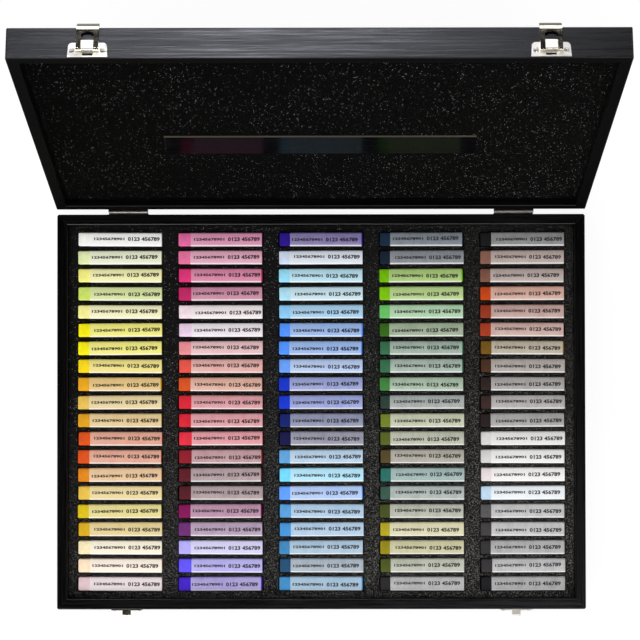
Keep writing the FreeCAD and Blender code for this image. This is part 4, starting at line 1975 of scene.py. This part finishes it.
@dataclass
class Studio:
    """A white table under a dark ceiling with a few softboxes, and the camera high above.

    Places and sizes are in metres.
    """

    camera_place: Point = (0.00573, 0.03889, 1.8535)
    camera_turn: Point = (0.0174, 0.0036, -0.0013)
    lens: float = 132.9
    sensor: float = 36.0
    sight: float = 50.0
    table_half: float = 6.0
    table_drop: float = 0.0002
    table: str = "9A9A9A"
    table_seen: str = "585858"  # what the camera sees, over a white glow
    table_glow: float = 0.92
    ambient: float = 0.39
    horizon: str = "FFFFFF"
    ceiling: str = "121212"
    ceiling_span: Span = (0.22, 0.5)
    lights: tuple[SoftBox, ...] = (
        SoftBox("front_softbox", (-0.7, -3.4, 2.2), (0.0, 0.1, 0.0), (2.2, 1.3), 98.0),
        SoftBox(
            "back_softbox", (-0.12, 1.87, 2.4), (0.0, 0.2, 0.3), (0.5, 0.45), 12.0, "F0F3FF"
        ),
        SoftBox(
            "backdrop", (0.0, 2.6, 0.75), (0.0, 0.2, 0.75), (2.4, 1.3), 21.0, diffused=False
        ),
        SoftBox("right_softbox", (0.8, -1.0, 2.2), (0.1, 0.0, 0.0), (0.6, 0.6), 11.5),
        SoftBox(
            "left_fill", (-1.5, 0.4, 1.3), (-0.1, 0.1, 0.0), (0.9, 0.9), 11.5, mirrored=False
        ),
    )

    def build(self) -> None:
        """Builds the table, the surroundings, the lights and the camera."""
        self.build_table()
        self.build_world()
        for light in self.lights:
            light.build()
        self.build_camera()
        bpy.context.scene.view_settings.view_transform = "Standard"

    def build_table(self) -> None:
        """Lays the white table top, which stays white to the camera but takes soft shadows."""
        sheet = bmesh.new()
        bmesh.ops.create_grid(sheet, x_segments=2, y_segments=2, size=self.table_half)
        bmesh.ops.translate(sheet, vec=(0, 0, -self.table_drop), verts=sheet.verts[:])
        mesh = bpy.data.meshes.new("table_top")
        sheet.to_mesh(mesh)
        sheet.free()
        material = bpy.data.materials.new("white_table_top")
        material.use_nodes = True
        tree = material.node_tree
        tree.nodes.clear()
        path = add_node(tree, "ShaderNodeLightPath").outputs
        plain, dim = (
            add_node(tree, "ShaderNodeBsdfDiffuse", {"Color": linear(colour)}).outputs[0]
            for colour in (self.table, self.table_seen)
        )
        glow = add_node(
            tree,
            "ShaderNodeEmission",
            {"Color": linear("FFFFFF"), "Strength": self.table_glow},
        ).outputs[0]
        shown = add_node(tree, "ShaderNodeAddShader", {0: dim, 1: glow}).outputs[0]
        surface = add_node(
            tree, "ShaderNodeMixShader", {0: path["Is Camera Ray"], 1: plain, 2: shown}
        ).outputs[0]
        add_node(tree, "ShaderNodeOutputMaterial", {"Surface": surface})
        mesh.materials.append(material)
        table = bpy.data.objects.new("table_top", mesh)
        bpy.context.scene.collection.objects.link(table)

    def build_world(self) -> None:
        """Surrounds the table with white for the camera and a dark-ceilinged room for the rest."""
        world = bpy.data.worlds.new("studio")
        bpy.context.scene.world = world
        world.use_nodes = True
        tree = world.node_tree
        tree.nodes.clear()
        path = add_node(tree, "ShaderNodeLightPath").outputs
        direction = add_node(tree, "ShaderNodeTexCoord").outputs["Generated"]
        height = add_node(tree, "ShaderNodeSeparateXYZ", {0: direction}).outputs["Z"]
        overhead = add_node(
            tree,
            "ShaderNodeMapRange",
            {
                "Value": height,
                "From Min": self.ceiling_span[0],
                "From Max": self.ceiling_span[1],
            },
        ).outputs["Result"]
        room = add_node(
            tree,
            "ShaderNodeMix",
            {0: overhead, MIX_A: linear(self.horizon), MIX_B: linear(self.ceiling)},
            data_type="RGBA",
        ).outputs[MIX_OUT]
        white, mirror, even = (
            add_node(
                tree, "ShaderNodeBackground", {"Color": colour, "Strength": strength}
            ).outputs[0]
            for colour, strength in (
                (linear("FFFFFF"), 1.0),
                (room, 1.0),
                (linear("FFFFFF"), self.ambient),
            )
        )
        lit = add_node(
            tree, "ShaderNodeMixShader", {0: path["Is Glossy Ray"], 1: even, 2: mirror}
        ).outputs[0]
        surface = add_node(
            tree, "ShaderNodeMixShader", {0: path["Is Camera Ray"], 1: lit, 2: white}
        ).outputs[0]
        add_node(tree, "ShaderNodeOutputWorld", {"Surface": surface})

    def build_camera(self) -> None:
        """Sets up the camera straight above the case."""
        camera = bpy.data.cameras.new("camera")
        camera.lens = self.lens
        camera.sensor_width = self.sensor
        camera.clip_end = self.sight
        holder = bpy.data.objects.new("camera", camera)
        holder.location = self.camera_place
        holder.rotation_euler = Euler(self.camera_turn, "XYZ")
        bpy.context.scene.collection.objects.link(holder)
        bpy.context.scene.camera = holder


def main() -> None:
    """Builds the studio and every part of the case, in order."""
    logging.basicConfig(level=logging.INFO, format="%(message)s")
    Studio().build()
    WoodenCase().dress()
    Fittings().dress()
    FoamTray().build()
    LidLining().build()
    PastelSet().build()


if __name__ == "__main__":
    main()
